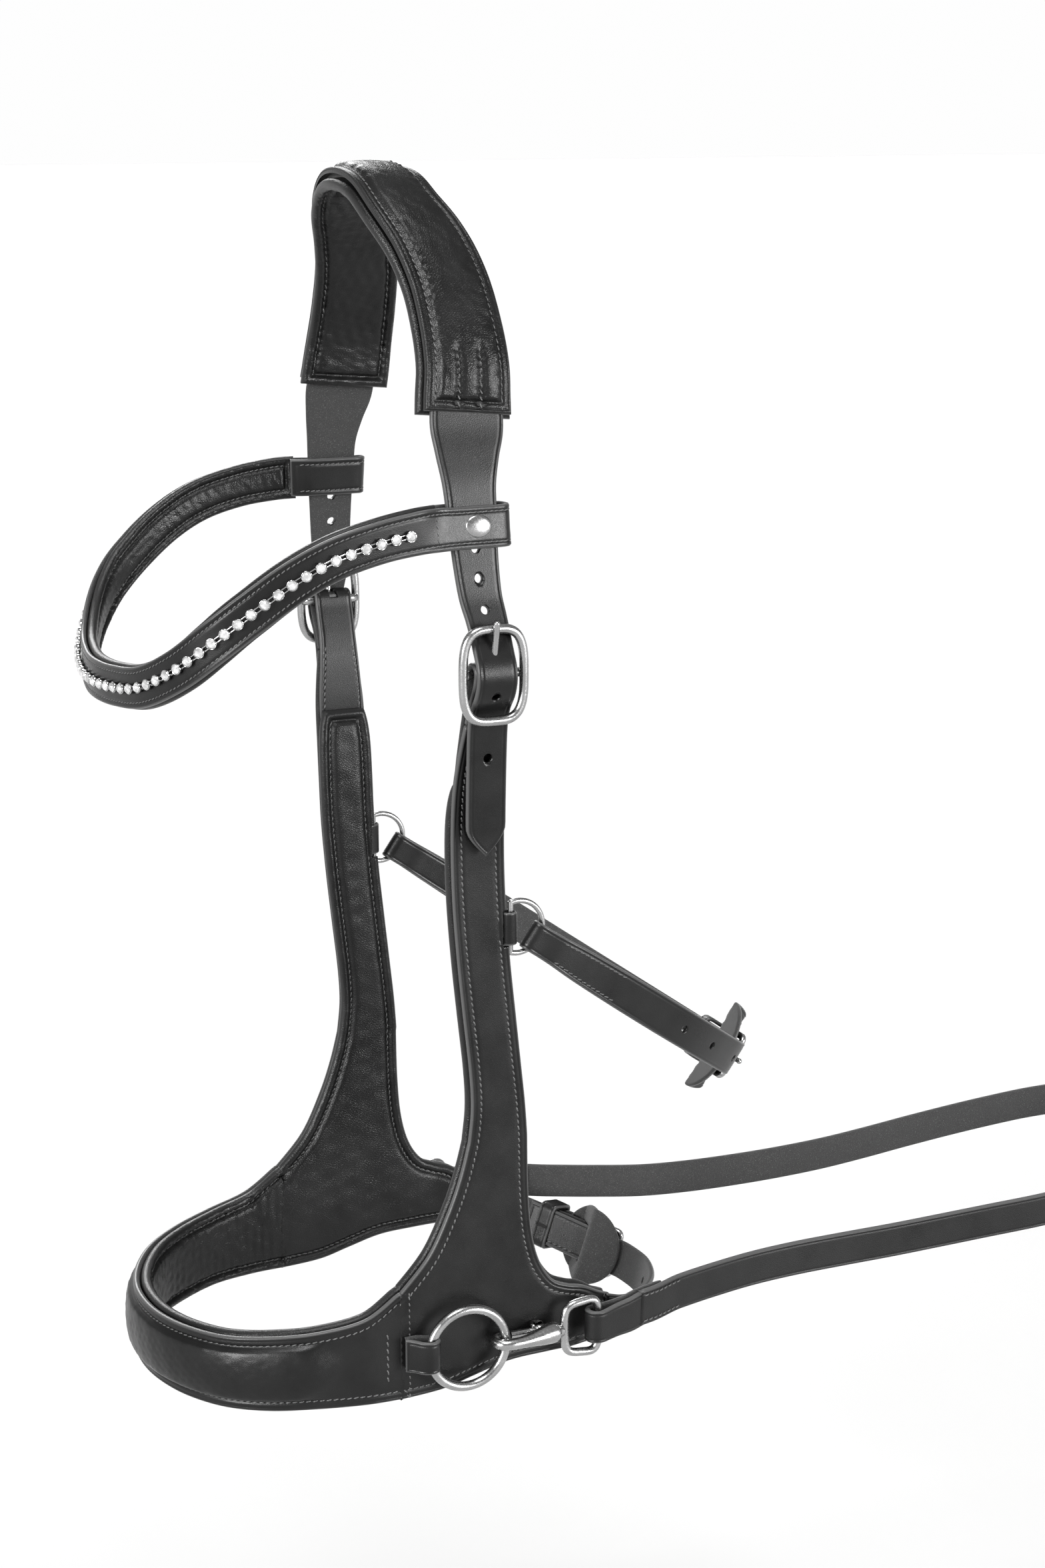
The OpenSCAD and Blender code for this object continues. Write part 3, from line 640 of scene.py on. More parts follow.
# ------------------------------------------------------------------ reins: the cords
REIN = [
    [80, 86, -466], [76, 97, -466.5], [70, 112, -467], [63, 133, -468], [57, 155, -469],
    [54, 178, -469.5], [53, 203, -469.8], [53, 228, -469.8], [53.5, 253, -469.2],
    [55, 278, -468], [57, 303, -466.6], [58, 328, -465], [58, 352, -463.4],
    [57, 374, -462], [54, 394, -461], [48.5, 411, -460.4], [42, 422, -460.1],
    [36, 428.4, -460], [30.6, 430, -460]]
REIN_WIDTH = 16
REIN_FOLD = [
    [78.6, 92.4, 15.2], [81.4, 86.4, 15.8], [83.4, 81.2, 15.6], [85.6, 74.6, 15],
    [87.8, 69.4, 14.6], [89.3, 66, 14.4], [89.6, 63.8, 14.4], [88.6, 61.3, 14.4],
    [86, 60.2, 14.4], [83.4, 61.3, 14.4],
    [82.4, 63.8, 14.4], [82.5, 67, 14.6], [82.4, 70.5, 15], [81.6, 75, 15.4], [79.9, 81, 15.8],
    [78.3, 85.6, 16], [74.2, 95.8, 15.4], [71.9, 101.2, 14]]


def slim(top, low, crease=1.6):
    return strap_faces(top, low, crease=crease, edge=0.9)


def rein_faces(d, s, x):
    """One layer, which lies against the outside of the stitched fold where it starts."""
    t, b = slim(1.45, -1.45)(d, s, x)
    step = 1.4 * (1 - rise(s, 6, 28))
    return t + step, b + step


def make_rein(side, name, node):
    rows = [[side * r[0], r[1], r[2], REIN_WIDTH] for r in REIN]
    route = Route(rows, inside=(0, 240, -466))
    obj = sweep(name, route, rein_faces, [REIN_LEATHER, FLESH], free=(False, False), step=2.5)
    finish_piece(obj, "reins", "rein_leather", node)
    path = [tuple(p * MM) for p in route.p[::14]]
    row = edge_lines(route, rein_faces, 2.2, 1.5, 26)
    sew(name + "_stitches", row, "reins")


def make_rein_fold(side, name, node):
    rows = [[side * x, y, -467 if y < 85 else -466.5, w] for x, y, w in REIN_FOLD]
    route = Route(rows, inside=(side * 84.6, 70, -467))
    obj = sweep(name, route, slim(1.2, -1.2), [REIN_LEATHER, FLESH], free=(False, True), step=1.2)
    finish_piece(obj, "reins", "rein_leather", node)


# ------------------------------------------------------------------ end-bar buckles
SB_FOLD, PAD_T, BILLET_T = 3.66, 2.2, 2.4
BILLET_LOW = SB_FOLD + 0.1 + PAD_T + 0.1
DEE_BOW = 11


def tilted(at, slope):
    """Turns points of a strap's sloping plane, with an optional height across it, into space."""
    c, s = math.cos(math.radians(slope)), math.sin(math.radians(slope))

    def place(p):
        p = np.atleast_2d(np.asarray(p, float))
        z = p[:, 2] if p.shape[1] > 2 else 0 * p[:, 0]
        y = p[:, 1]
        return np.stack([at[0] + p[:, 0], at[1] + y * c + z * s, at[2] - y * s + z * c], 1)
    return place, (0, s, c)


def around(bar, turn, flip=1):
    """Turns a buckle's own points (to the billet's side, outwards, across) into its plane's."""
    c, s = math.cos(math.radians(turn)), math.sin(math.radians(turn))

    def place(p):
        p = np.atleast_2d(np.asarray(p, float))
        x, y = flip * p[:, 0], p[:, 1]
        out = [bar[0] + x * c - y * s, bar[1] + x * s + y * c]
        return np.stack([*out, p[:, 2]], 1) if p.shape[1] > 2 else np.stack(out, 1)
    return place


def both(outer, inner):
    return lambda p: outer(inner(p))


def plane_rows(place, points, widths):
    spots = place(points)
    return np.hstack([spots, np.broadcast_to(widths, len(spots))[:, None]])


def shifted(points, d):
    """A plane route moved sideways by d, to the outside."""
    p = np.array(points, float)
    t = unit(np.gradient(p, axis=0))
    return p + np.stack([t[:, 1], -t[:, 0]], 1) * d


def buckle_billet_end(reach):
    """The billet's middle line: under the front rail, up over the bar, flat on the pad."""
    low = BILLET_LOW + 1.2
    return [[20, -2.0], [14, -1.5], [9.5, 0.4], [4.8, 5.6], [0, low], [-6, low], [-14, low],
            [-reach, low]]


FOLD_LINE = [[0, -2.6], [1.85, -1.85], [2.6, 0], [1.85, 1.85], [0, 2.6]]


def tipped(route, length=11.0):
    """Half widths of a strap that ends in a rounded point."""
    def half(s):
        u = np.clip((s - (route.length - length)) / length, 0, 1)
        return np.maximum(route.half(s) * (1 - u**1.6), 0.12)
    return half


def nearest(route, point):
    return route.s[np.argmin(np.linalg.norm(route.p - np.asarray(point), axis=1))]


def punch(route, s, r=1.75, long=7):
    p, _, up = route.frame(s)
    return cylinder(p - up * long, p + up * long, r)


def make_pad(name, world, radius, width, body, node):
    """A round safe that slips under the buckle, through its slit, and out over the chape."""
    angle = np.linspace(0, 2 * math.pi, 90, endpoint=False)
    ring = np.stack([np.cos(angle), np.sin(angle)], 1) * radius
    level = SB_FOLD + 0.1 + PAD_T / 2
    line = curve([[40, -level], [4, -level], [0.5, -level + 0.3], [-8.5, level - 0.3],
                  [-12, level], [-40, level]], 10)[::-1]
    lift = lambda x: np.interp(x, line[:, 0], line[:, 1])

    def place(flat, h):
        x, z = flat[:, 0], flat[:, 1]
        slope = (lift(x + 0.2) - lift(x - 0.2)) / 0.4
        k = 1 / np.sqrt(1 + slope**2)
        bow = 0.6 * (np.abs(z) / radius) ** 2
        return world(np.stack([x - slope * k * h, lift(x) + k * h - bow, z], 1))
    obj = panel(name, ring, strap_faces(1.05, -1.05, crease=1.7, edge=1.0), place, [GRAIN, FLESH])
    slit = SB_FOLD + 0.05, width / 2 + 0.4
    cut(obj, [block((-40, -slit[0], -slit[1]), (0, *slit), world)])
    return finish_piece(obj, body, "bridle_leather", node)


def make_keeper(name, world, width, body, slot, node, mat):
    """A sewn leather loop, closed round the strap."""
    along, centre, corner = -24.5, 2.4, 2.0
    low, high, side = -SB_FOLD - 1.05, BILLET_LOW + BILLET_T + 1.05, width / 2 + 1.35
    ring = [[low, 0], [low, 3], [low, side - corner], [low + 0.6, side - 0.6], [low + corner, side],
            [centre, side], [high - corner, side], [high - 0.6, side - 0.6], [high, side - corner],
            [high, 0]]
    ring += [[y, -z] for y, z in ring[-2::-1]]
    ring = [[along, y, z] for y, z in ring]
    rows = np.hstack([world(ring), np.full((len(ring), 1), 8.0)])
    middle = world([[along, centre, 0]])[0]
    ref = unit(world([[1, 0, 0]])[0] - world([[0, 0, 0]])[0])
    route = Route(rows, ref=ref, inside=middle)
    obj = sweep(name, route, strap_faces(0.9, -0.9, crease=1.3, edge=0.7), [mat, FLESH], step=1.0,
                free=(False, False))
    return finish_piece(obj, body, slot, node)


def slot_cut(world):
    return block((1.2, -8, -1.9), (7, 8, 1.9), world)


def billet_cuts(world):
    """Room for the tongue at rest and lifted by a few degrees."""
    return [tube(world([[1.2, 1.7, 0], [14.4, 4.95, 0]]), 1.75, 10),
            tube(world([[1.1, 2.2, 0], [13.9, 6.1, 0]]), 1.7, 10)]


def thinned(face, a, b):
    """The same strap pared thin between two distances along it, as where it wraps a ring."""
    def pared(d, s, x, spot=None):
        t, u = face(d, s, x)
        k = 1 - 0.36 * rise(s, a - 4, a) * (1 - rise(s, b, b + 8))
        return t * k, u * k
    return pared


# ------------------------------------------------------------------ throat strap
THROAT_SLOPE = 35.3
slope = math.radians(THROAT_SLOPE)
throat_plane, throat_ref = tilted(
    (0, DEE[1] + DEE_BOW * math.cos(slope), DEE[2] - DEE_BOW * math.sin(slope)), THROAT_SLOPE)
THROAT_BAR, THROAT_TURN, THROAT_W = (6, 151), -12, 16
throat_local = around(THROAT_BAR, THROAT_TURN)
throat_world = both(throat_plane, throat_local)
DEE_WRAP = [[74.6, 40], [75.9, 25], [76.2, 12], [75, 5], [74.7, 1], [74.7, -1.7], [75.6, -3.9],
            [77.6, -4.7], [79.6, -3.9], [80.5, -1.7], [80.4, 2], [79.7, 7], [79, 12]]
THROAT_SIDE = [[77.2, 25], [75, 48], [70.5, 72], [63, 95], [52, 116], [40, 133], [31, 141.5]]
THROAT_BACK = [[-13, 155.6], [-27, 156], [-39, 149], [-49, 136], [-59, 117], [-67.5, 93],
               [-73.5, 66], [-76.8, 38], [-77.6, 20]]


def make_throat():
    wrap_widths = [13.5, 13.5, 13, 12.6, 12.6, 12.6, 12.6, 12.6, 12.6, 12.6, 12.6, 12.8, 13.2]
    side = shifted(THROAT_SIDE, 1.2)
    end = throat_local(buckle_billet_end(38))
    points = np.vstack([DEE_WRAP, side, end])
    widths = [*wrap_widths, 14.6, 15.6, *[THROAT_W] * (len(side) + len(end) - 2)]
    middle = throat_plane([[0, 60]])[0]
    route = Route(plane_rows(throat_plane, points, widths), throat_ref, middle)
    tail = nearest(route, throat_plane([DEE_WRAP[2]])[0])
    start = nearest(route, throat_plane([DEE_WRAP[-1]])[0])
    face = thinned(slim(1.15, -1.15), tail, start)
    obj = sweep("throat_billet_leather", route, face, [GRAIN, FLESH], half=tipped(route), step=1.6)
    holes = [punch(route, nearest(route, p))
             for p in throat_plane([[38, 135.5], [54, 112], [65, 89]])]
    cut(obj, holes + billet_cuts(throat_world))
    finish_piece(obj, "throat_strap", "bridle_leather", "throat_billet")
    rows = edge_lines(route, face, 2.2, start - 1, start + 34)
    rows += edge_lines(route, face, 2.2, 2, tail)

    back = shifted(THROAT_BACK, 1.2)
    fold = throat_local([[-36, -4.2], [-20, -2.8], [-8, -2.6], *FOLD_LINE, [-8, 2.6], [-19, 1.9]])
    wrap = np.array(DEE_WRAP[::-1]) * [-1, 1]
    points = np.vstack([fold, back[1:], wrap])
    widths = [*[THROAT_W] * (len(fold) + len(back) - 3), 14.8, 13.8, *wrap_widths[::-1]]
    route = Route(plane_rows(throat_plane, points, widths), throat_ref, middle)
    near_wrap = nearest(route, throat_plane([wrap[0]])[0])
    face = thinned(slim(1.15, -1.15), near_wrap, nearest(route, throat_plane([wrap[-3]])[0]))
    obj = sweep("throat_chape_leather", route, face, [GRAIN, FLESH], step=1.6)
    cut(obj, [slot_cut(throat_world)])
    finish_piece(obj, "throat_strap", "bridle_leather", "throat_chape")
    far = nearest(route, throat_plane([wrap[0]])[0])
    rows += edge_lines(route, face, 2.2, far - 34, far)
    rows += edge_lines(route, face, 2.2, far - 34, far, under=True)
    rows += edge_lines(route, face, 2.2, 2, 30)
    sew("throat_stitches", rows, "throat_strap", r=0.3, pitch=2.6)
    make_pad("throat_safe", throat_world, 22, THROAT_W, "throat_strap", "throat_pad")
    make_keeper("throat_loop", throat_world, THROAT_W, "throat_strap", "bridle_leather",
                "throat_keeper", GRAIN)


# ------------------------------------------------------------------ chin strap
CHIN_SLOPE = 18.6
chin_plane, chin_ref = tilted((0, 41, -459), CHIN_SLOPE)
CHIN_BAR, CHIN_TURN, CHIN_W = (-28, 78), 33, 17
chin_local = around(CHIN_BAR, CHIN_TURN)
chin_world = both(chin_plane, chin_local)
CHIN_SIDE = [[74.2, 33], [73.2, 35.5], [69, 44.5], [61, 55.5], [48, 68], [32, 79], [16, 86.5],
             [3, 89.8]]
CHIN_BACK = [[-50, 63.6], [-57, 58], [-64.5, 50.5], [-70, 41.5], [-73.6, 34]]


def make_chin():
    side = shifted(CHIN_SIDE, -1.3)
    points = np.vstack([side, chin_local(buckle_billet_end(30))])
    widths = [19.4, 18.6, *[CHIN_W] * (len(points) - 2)]
    middle = chin_plane([[0, 30]])[0]
    route = Route(plane_rows(chin_plane, points, widths), chin_ref, middle)
    face = slim(1.2, -1.2)
    obj = sweep("chin_billet_leather", route, face, [GRAIN, FLESH], half=tipped(route), step=1.6,
                free=(False, True))
    holes = [punch(route, nearest(route, p)) for p in chin_plane([[16, 86.5], [32, 79]])]
    cut(obj, holes + billet_cuts(chin_world))
    finish_piece(obj, "bridle", "bridle_leather", "chin_billet")
    back = shifted(CHIN_BACK, -0.3)
    fold = chin_local([[-34, -3.9], [-22, -2.9], [-8, -2.6], *FOLD_LINE, [-8, 2.6], [-18, 1.2]])
    points = np.vstack([fold, back])
    widths = [*[CHIN_W] * (len(points) - 2), 18.2, 19.4]
    route = Route(plane_rows(chin_plane, points, widths), chin_ref, middle)
    obj = sweep("chin_chape_leather", route, face, [GRAIN, FLESH], step=1.6, free=(True, False))
    cut(obj, [slot_cut(chin_world)])
    finish_piece(obj, "bridle", "bridle_leather", "chin_chape")
    rows = edge_lines(route, face, 2.3, 2, 28)
    mid = nearest(route, chin_world([[0, 2.6]])[0])
    rows += edge_lines(route, face, 2.3, mid + 5, mid + 34)
    sew("chin_stitches", rows, "bridle", r=0.3, pitch=2.6)
    make_pad("chin_safe", chin_world, 18, CHIN_W, "bridle", "chin_pad")
    make_keeper("chin_loop", chin_world, CHIN_W, "bridle", "bridle_leather", "chin_keeper", GRAIN)


# ------------------------------------------------------------------ reins' centre buckle
REIN_BAR = (4.2, 430)


def rein_world(p):
    q = around(REIN_BAR, 0, flip=-1)(np.atleast_2d(np.asarray(p, float)))
    return np.stack([q[:, 0], q[:, 1], -460 + (q[:, 2] if q.shape[1] > 2 else 0 * q[:, 0])], 1)


def make_rein_buckle():
    face = slim(1.05, -1.05)
    fold = [[-38, -3.4], [-26, -2.6], [-8, -2.6], *FOLD_LINE, [-8, 2.6], [-22, 2.2], [-27.5, 0.6]]
    route = Route(plane_rows(rein_world, fold, REIN_WIDTH), (0, 0, 1), (20, 430, -460))
    chape = sweep("rein_chape_leather", route, face, [REIN_LEATHER, FLESH], step=1.2)
    cut(chape, [slot_cut(rein_world)])
    finish_piece(chape, "reins", "rein_leather", "rein_chape")
    line = [[34, 0.1], [27, -1.2], *buckle_billet_end(36)]
    route2 = Route(plane_rows(rein_world, line, REIN_WIDTH), (0, 0, 1), (-10, 400, -460))
    billet = sweep("rein_billet_leather", route2, face, [REIN_LEATHER, FLESH], step=1.2,
                   half=tipped(route2), free=(False, True))
    cut(billet, billet_cuts(rein_world))
    finish_piece(billet, "reins", "rein_leather", "rein_billet")
    keeper = make_keeper("rein_loop", rein_world, REIN_WIDTH, "reins", "rein_leather",
                         "rein_keeper", REIN_LEATHER)
    rows = edge_lines(route, face, 2.2, 2, 30)
    sew("rein_buckle_stitches", rows, "reins", r=0.3, pitch=2.6)
    return chape, billet, keeper


chape, billet, keeper = make_rein_buckle()
make_rein(1, "rein_left_leather", "rein_left")
make_rein(-1, "rein_right_leather", "rein_right")
make_rein_fold(1, "rein_fold_left_leather", "rein_fold_left")
make_rein_fold(-1, "rein_fold_right_leather", "rein_fold_right")
make_throat()
make_chin()


# ------------------------------------------------------------------ headpiece and crown
HEAD = [
    [0, 0, 8.3, 24], [17.5, 1, 5.5, 24.5], [31.5, 3.5, -3.6, 25], [43.8, 9, -16.6, 26],
    [53.6, 13, -32, 27], [62, 14.5, -49, 28], [68, 14.5, -64, 29], [70.5, 13.5, -77, 30],
    [73, 12.5, -88, 30.5], [76, 11.5, -98, 26.5], [79, 11, -109, 22.5], [81.2, 11.2, -122, 21],
    [83.5, 11.6, -138, 19.3], [86, 12.4, -151, 18.2], [88.6, 13.6, -159, 17.5],
    [91, 14.2, -165, 17.2], [95, 14.2, -172, 17], [98.2, 14.2, -178, 17], [98.9, 14.2, -184, 17],
    [96.5, 14.2, -190.5, 17], [91.5, 14.2, -197, 17], [89.2, 14.2, -203, 17],
    [87.8, 14.3, -214, 17], [86, 14.6, -235, 17], [85, 14.9, -249, 17], [84.6, 15, -257.5, 17]]


def make_headpiece():
    route = Route(whole(HEAD[::-1]), (0, 1, 0), (0, 10, -200))

    def half(s):
        end = np.minimum(s, route.length - s)
        return np.maximum(route.half(s) * (1 - np.clip((12 - end) / 12, 0, 1) ** 1.6), 0.12)
    face = strap_faces(0, -2.8, crease=2.0, edge=1.1)
    obj = sweep("headpiece_leather", route, face, [GRAIN, FLESH], half=half, step=2.2)
    spots = [(82.8, 11.5, -133), (84.8, 12, -145), (88, 13.4, -157), (96.5, 14.2, -190.5),
             (87.6, 14.3, -216)]
    holes = [punch(route, nearest(route, (k * x, y, z)), 1.9) for x, y, z in spots for k in (-1, 1)]
    cut(obj, holes)
    finish_piece(obj, "bridle", "bridle_leather", "headpiece_strap")


def crown_faces(d, s, x):
    """A flat margin, a stitched step, and a softly domed, wrinkled middle."""
    flat = -1.6 + 2.5 * rounded(d, 0.9)
    puff = 1.9 * rise(d, 4.2, 6.2) + 0.5 * rise(d, 6, 12)
    wrinkle = (0.10 + 0.34 * groove(d, 5.6, 1.3)) * wobble(s, x * 1.6, 6.5, 11) * rise(d, 4.4, 6)
    end = np.minimum(s, 265 - s) - 6
    rows = 1.5 * groove(np.abs(x), 4.6, 1.3) * rise(end, 0, 4) * (1 - rise(end, 22, 28))
    thread = 0.35 * rows * np.sin(2 * math.pi * s / 2.9)
    rows = rows + 0.8 * (1 - rise(end, -1, 9)) * rise(d, 4.2, 7) + thread
    top = flat - 0.3 * groove(d, 1.7, 0.3) - 0.45 * groove(d, 4.1, 0.5) + puff + wrinkle - rows
    return top + 0.5, 0.42 + 0 * d


def crown_route(wider):
    rows = [[*r[:3], r[3] + wider] for r in HEAD[:9]]
    return Route(whole(rows[::-1]), (0, 1, 0), (0, 10, -200))


def make_crown():
    route = crown_route(6)
    obj = sweep("crown_cover", route, crown_faces, [NAPPA, FLESH], s0=6, s1=route.length - 6,
                step=0.9, mids=13)
    finish_piece(obj, "bridle", "padding_leather", "crown_leather")
    rows_out = edge_lines(route, crown_faces, 4.1, 7, route.length - 7)
    for a, b in ((7.5, 31), (route.length - 31, route.length - 7.5)):
        for x in (-4.6, 4.6):
            s = np.linspace(a, b, 20)
            xs = np.full_like(s, x)
            t, _ = crown_faces(route.half(s) - 4.6, s, xs)
            rows_out.append((route.point(s, xs, t), route.frame(s)[2]))
    wide = crown_route(9.4)
    lining = lining_faces(-3.0, -8.2, 3, roll=2.4, stitch=4.6, sink=2.0, amp=0.22, pitch=3.0)
    pad = sweep("crown_lining", wide, lining, [NAPPA, NAPPA], s0=5, s1=wide.length - 5,
                step=0.75, mids=14)
    finish_piece(pad, "bridle", "padding_leather", "crown_padding")
    rows_out += edge_lines(wide, lining, 4.6, 9, wide.length - 9, under=True, lift=-0.1)
    sew("crown_stitches", rows_out, "bridle", r=0.36, pitch=2.9)


make_headpiece()
make_crown()


# ------------------------------------------------------------------ browband
BROW = [
    [86.2, -4, -125, 17], [88.2, -14, -125.6, 17], [89.4, -30, -128, 16.5], [89.2, -48, -133, 16.5],
    [87, -64, -141, 16.5], [82.5, -80, -152.5, 16.5], [75, -94, -164.5, 16.5],
    [62, -105, -176.5, 16.5], [42, -113.5, -186, 16.5], [20, -118.5, -189, 16.5],
    [0, -120.5, -189.5, 16.5]]
LOOP = [[78.5, -8], [76, -2], [75.3, 6], [75.3, 16], [75.6, 23], [77.6, 25.6], [80, 26.6],
        [82.3, 26.2], [84.2, 24.2], [84.8, 20], [85.1, 12], [85.6, 3]]
PITCH = 6.3


def crystal(at, along, across, out):
    """A round brilliant in a pronged cup."""
    sides, gem, faces = 8, [], []
    table, girdle, low = 1.1, 1.92, 0.0
    for k in range(sides):
        a = 2 * math.pi * k / sides
        b = a + math.pi / sides
        gem.append((math.cos(a) * table, math.sin(a) * table, 1.45))
        gem.append((math.cos(b) * 1.6, math.sin(b) * 1.6, 1.02))
        gem.append((math.cos(a) * girdle, math.sin(a) * girdle, 0.55))
        gem.append((math.cos(b) * girdle, math.sin(b) * girdle, 0.55))
        gem.append((math.cos(a) * 1.2, math.sin(a) * 1.2, low))
    for k in range(sides):
        i, j = 5 * k, 5 * ((k + 1) % sides)
        faces += [(i, i + 1, j), (i, i + 2, i + 1), (i + 1, i + 2, i + 3), (i + 1, i + 3, j + 2),
                  (i + 1, j + 2, j), (i + 2, i + 4, i + 3), (i + 3, i + 4, j + 4),
                  (i + 3, j + 4, j + 2)]
    faces.append(tuple(5 * k for k in range(sides)))
    faces.append(tuple(5 * k + 4 for k in range(sides - 1, -1, -1)))
    g = np.array(gem)
    points = at + along * g[:, :1] + across * g[:, 1:2] + out * g[:, 2:]
    return points, faces


def cup(at, along, across, out):
    profile = [(0.9, -1.0), (2.0, -1.0), (2.2, -0.4), (2.24, 0.45), (2.06, 0.72), (1.9, 0.5),
               (1.8, -0.2), (0.9, -0.4)]
    sides, pts, faces = 20, [], []
    for k in range(sides):
        a = 2 * math.pi * k / sides
        for r, h in profile:
            h = h + (0.22 if k % 5 == 0 and h > 0.3 else 0)
            pts.append(at + along * r * math.cos(a) + across * r * math.sin(a) + out * h)
    n = len(profile)
    for k in range(sides):
        for j in range(n):
            faces.append((k * n + j, k * n + (j + 1) % n, ((k + 1) % sides) * n + (j + 1) % n,
                          ((k + 1) % sides) * n + j))
    return np.array(pts), faces


def make_browband():
    tilt = (-0.148, 0, 0.989)
    loop = [[x, y, -125, 16.6] for x, y in LOOP]
    rows = [*loop, *BROW]
    refs = [tilt] * (len(loop) + 1) + [(0, 0, 1)] * (len(BROW) - 1)
    other = [(-r[0], r[1], r[2]) for r in refs[-2::-1]]
    route = Route(whole(rows), [*refs, *other], (0, 0, -150))
    face = strap_faces(0, -2.2, crease=None, stitch=2.4, edge=0.9)
    obj = sweep("browband_cover", route, face, [GRAIN, FLESH], step=1.5)
    finish_piece(obj, "browband", "bridle_leather", "browband_leather", "browband_loop_left",
                 "browband_loop_right")
    start = nearest(route, (86.2, -4, -125))
    rows_out = edge_lines(route, face, 2.4, 4, route.length - 4)
    seam = start + 2
    rows_out += [cross_line(route, face, v, -5.5, 5.5) for v in (seam, route.length - seam)]

    band = Route(whole([[*r[:3], r[3] + 1.6] for r in BROW]), (0, 0, 1), (0, 0, -150))
    lining = lining_faces(-2.6, -6.9, 5, roll=2.0, stitch=4.0, sink=1.6, amp=0.12, pitch=2.4)
    pad = sweep("browband_lining", band, lining, [NAPPA, NAPPA], step=0.7, mids=5)
    finish_piece(pad, "browband", "padding_leather", "browband_padding")
    rows_out += edge_lines(band, lining, 4.0, 4, band.length - 4, under=True, lift=-0.1)
    sew("browband_stitches", rows_out, "browband", r=0.28, pitch=2.3)

    middle = band.length / 2
    gems, cups, wires = [], [], []
    for k in range(-28, 29):
        p, w, up = [v[0] for v in band.frame([middle + k * PITCH])]
        along = unit(np.cross(up, w))
        turn = 0.35 * math.sin(k * 2.4)
        a = along * math.cos(turn) + w * math.sin(turn)
        b = w * math.cos(turn) - along * math.sin(turn)
        gems.append(crystal(p + up * 1.5, a, b, up))
        cups.append(cup(p + up * 1.3, a, b, up))
    for x in (-0.8, 0.8):
        s = np.linspace(middle - 28 * PITCH, middle + 28 * PITCH, 300)
        wires.append(tube(band.point(s, np.full_like(s, x), np.full_like(s, 0.75)), 0.32, 6))
    stones = mesh_object("stones", *joined(gems), [STONE], smooth=False, tidy=False)
    finish_piece(stones, "browband", "crystal", "crystals")
    holders = mesh_object("stone_cups", *joined(cups + wires), [CHROME])
    finish_piece(holders, "browband", "silver_cups", "crystal_cups")


make_browband()


# ------------------------------------------------------------------ cheek pieces
CHEEK = [
    [85.9, 14.2, -203, 17], [84.2, 14.1, -213, 20], [81.8, 13.8, -227, 22.5],
    [79.8, 13.7, -243, 23], [79, 13.9, -260, 23], [79, 14.6, -280, 23], [79, 16.5, -304, 23],
    [79, 18.8, -326, 23], [79, 21.4, -350, 23], [79, 22.6, -366, 24], [79, 22.4, -380, 26.4]]
FLARE_NOSE = [[9.2, -380], [5.5, -394], [0, -409], [-9, -427], [-22, -441.5]]
FLARE_BOTTOM = [[-22, -488.6], [-3, -487.4], [11, -484], [27, -480.2], [44, -479.4], [56, -479.2],
                [64.1, -479], [71.4, -479.6]]
FLARE_REAR = [[77.6, -461.1], [70.9, -457.6], [62.1, -452.6], [54, -450.2], [47, -446.6],
              [41, -437], [37.5, -423], [36, -404], [35.6, -380]]
ARM = [[52, 79], [58, 78.6], [67.5, 76.5], [74.5, 73.4], [80, 70.5]]


def cheek_outline(grow, shorter=0.0):
    strap = curve(CHEEK, 10)
    strap = strap[strap[:, 2] < -203 - shorter]
    top = np.exp(-(strap[0, 2] - strap[:, 2]) / 7) * (1 if shorter else 0)
    half = (strap[:, 3] / 2 + grow) * (1 - 0.22 * top)
    front = np.stack([strap[:, 1] - half, strap[:, 2]], 1)
    back = np.stack([strap[:, 1] + half, strap[:, 2]], 1)
    nose = curve(FLARE_NOSE, 8)[1:] + [-grow * 0.7, grow * 0.7]
    low = curve(FLARE_BOTTOM, 6) + [0, -grow]
    rear = curve(FLARE_REAR, 6)[:-1] + [grow * 0.7, grow * 0.7]
    nose[:, 0] = np.maximum(nose[:, 0], FRONT)
    low[:, 0] = np.maximum(low[:, 0], FRONT)
    return np.vstack([front, nose, low, rear, back[::-1]])


def steepness(at, x, y):
    return (np.interp(at + 0.3, x, y) - np.interp(at - 0.3, x, y)) / 0.6


def cheek_place(flat, h):
    line = curve(CHEEK, 10)[::-1]
    x = np.interp(flat[:, 1], line[:, 2], line[:, 0])
    arm = curve(ARM, 8)
    x = x + np.interp(flat[:, 0], arm[:, 0], arm[:, 1] - 79)
    slope = steepness(flat[:, 1], line[:, 2], line[:, 0])
    side = steepness(flat[:, 0], arm[:, 0], arm[:, 1])
    k = 1 / np.sqrt(1 + slope**2 + side**2)
    return np.stack([x + h * k, flat[:, 0] - side * k * h, flat[:, 1] - slope * k * h], 1)


def closed(ring):
    return ring[:, 0] < FRONT + 0.05


def leather_closed(ring):
    return closed(ring) | ((ring[:, 1] > -203.4) & (np.abs(ring[:, 0] - BUCKLE_Y) < 8.4))


def inset_line(outline, inset, pick, place, h, flip=1):
    """A line of stitches inside an outline, with the outward directions there."""
    step = unit(np.roll(outline, -1, 0) - np.roll(outline, 1, 0))
    inward = np.stack([-step[:, 1], step[:, 0]], 1)
    nxt = np.roll(outline, -1, 0)
    turn = np.sum(outline[:, 0] * nxt[:, 1] - nxt[:, 0] * outline[:, 1])
    line = outline + inward * inset * (1 if turn > 0 else -1)
    groups, run = [], []
    for p, good in zip(line, pick(line)):
        if good:
            run.append(p)
        elif run:
            groups.append(run)
            run = []
    if run:
        groups.append(run)
    out = []
    for g in groups:
        g = np.array(g)
        if len(g) > 2:
            a, b = place(g, np.full(len(g), h)), place(g, np.full(len(g), h + flip))
            out.append((a, unit(b - a)))
    return out


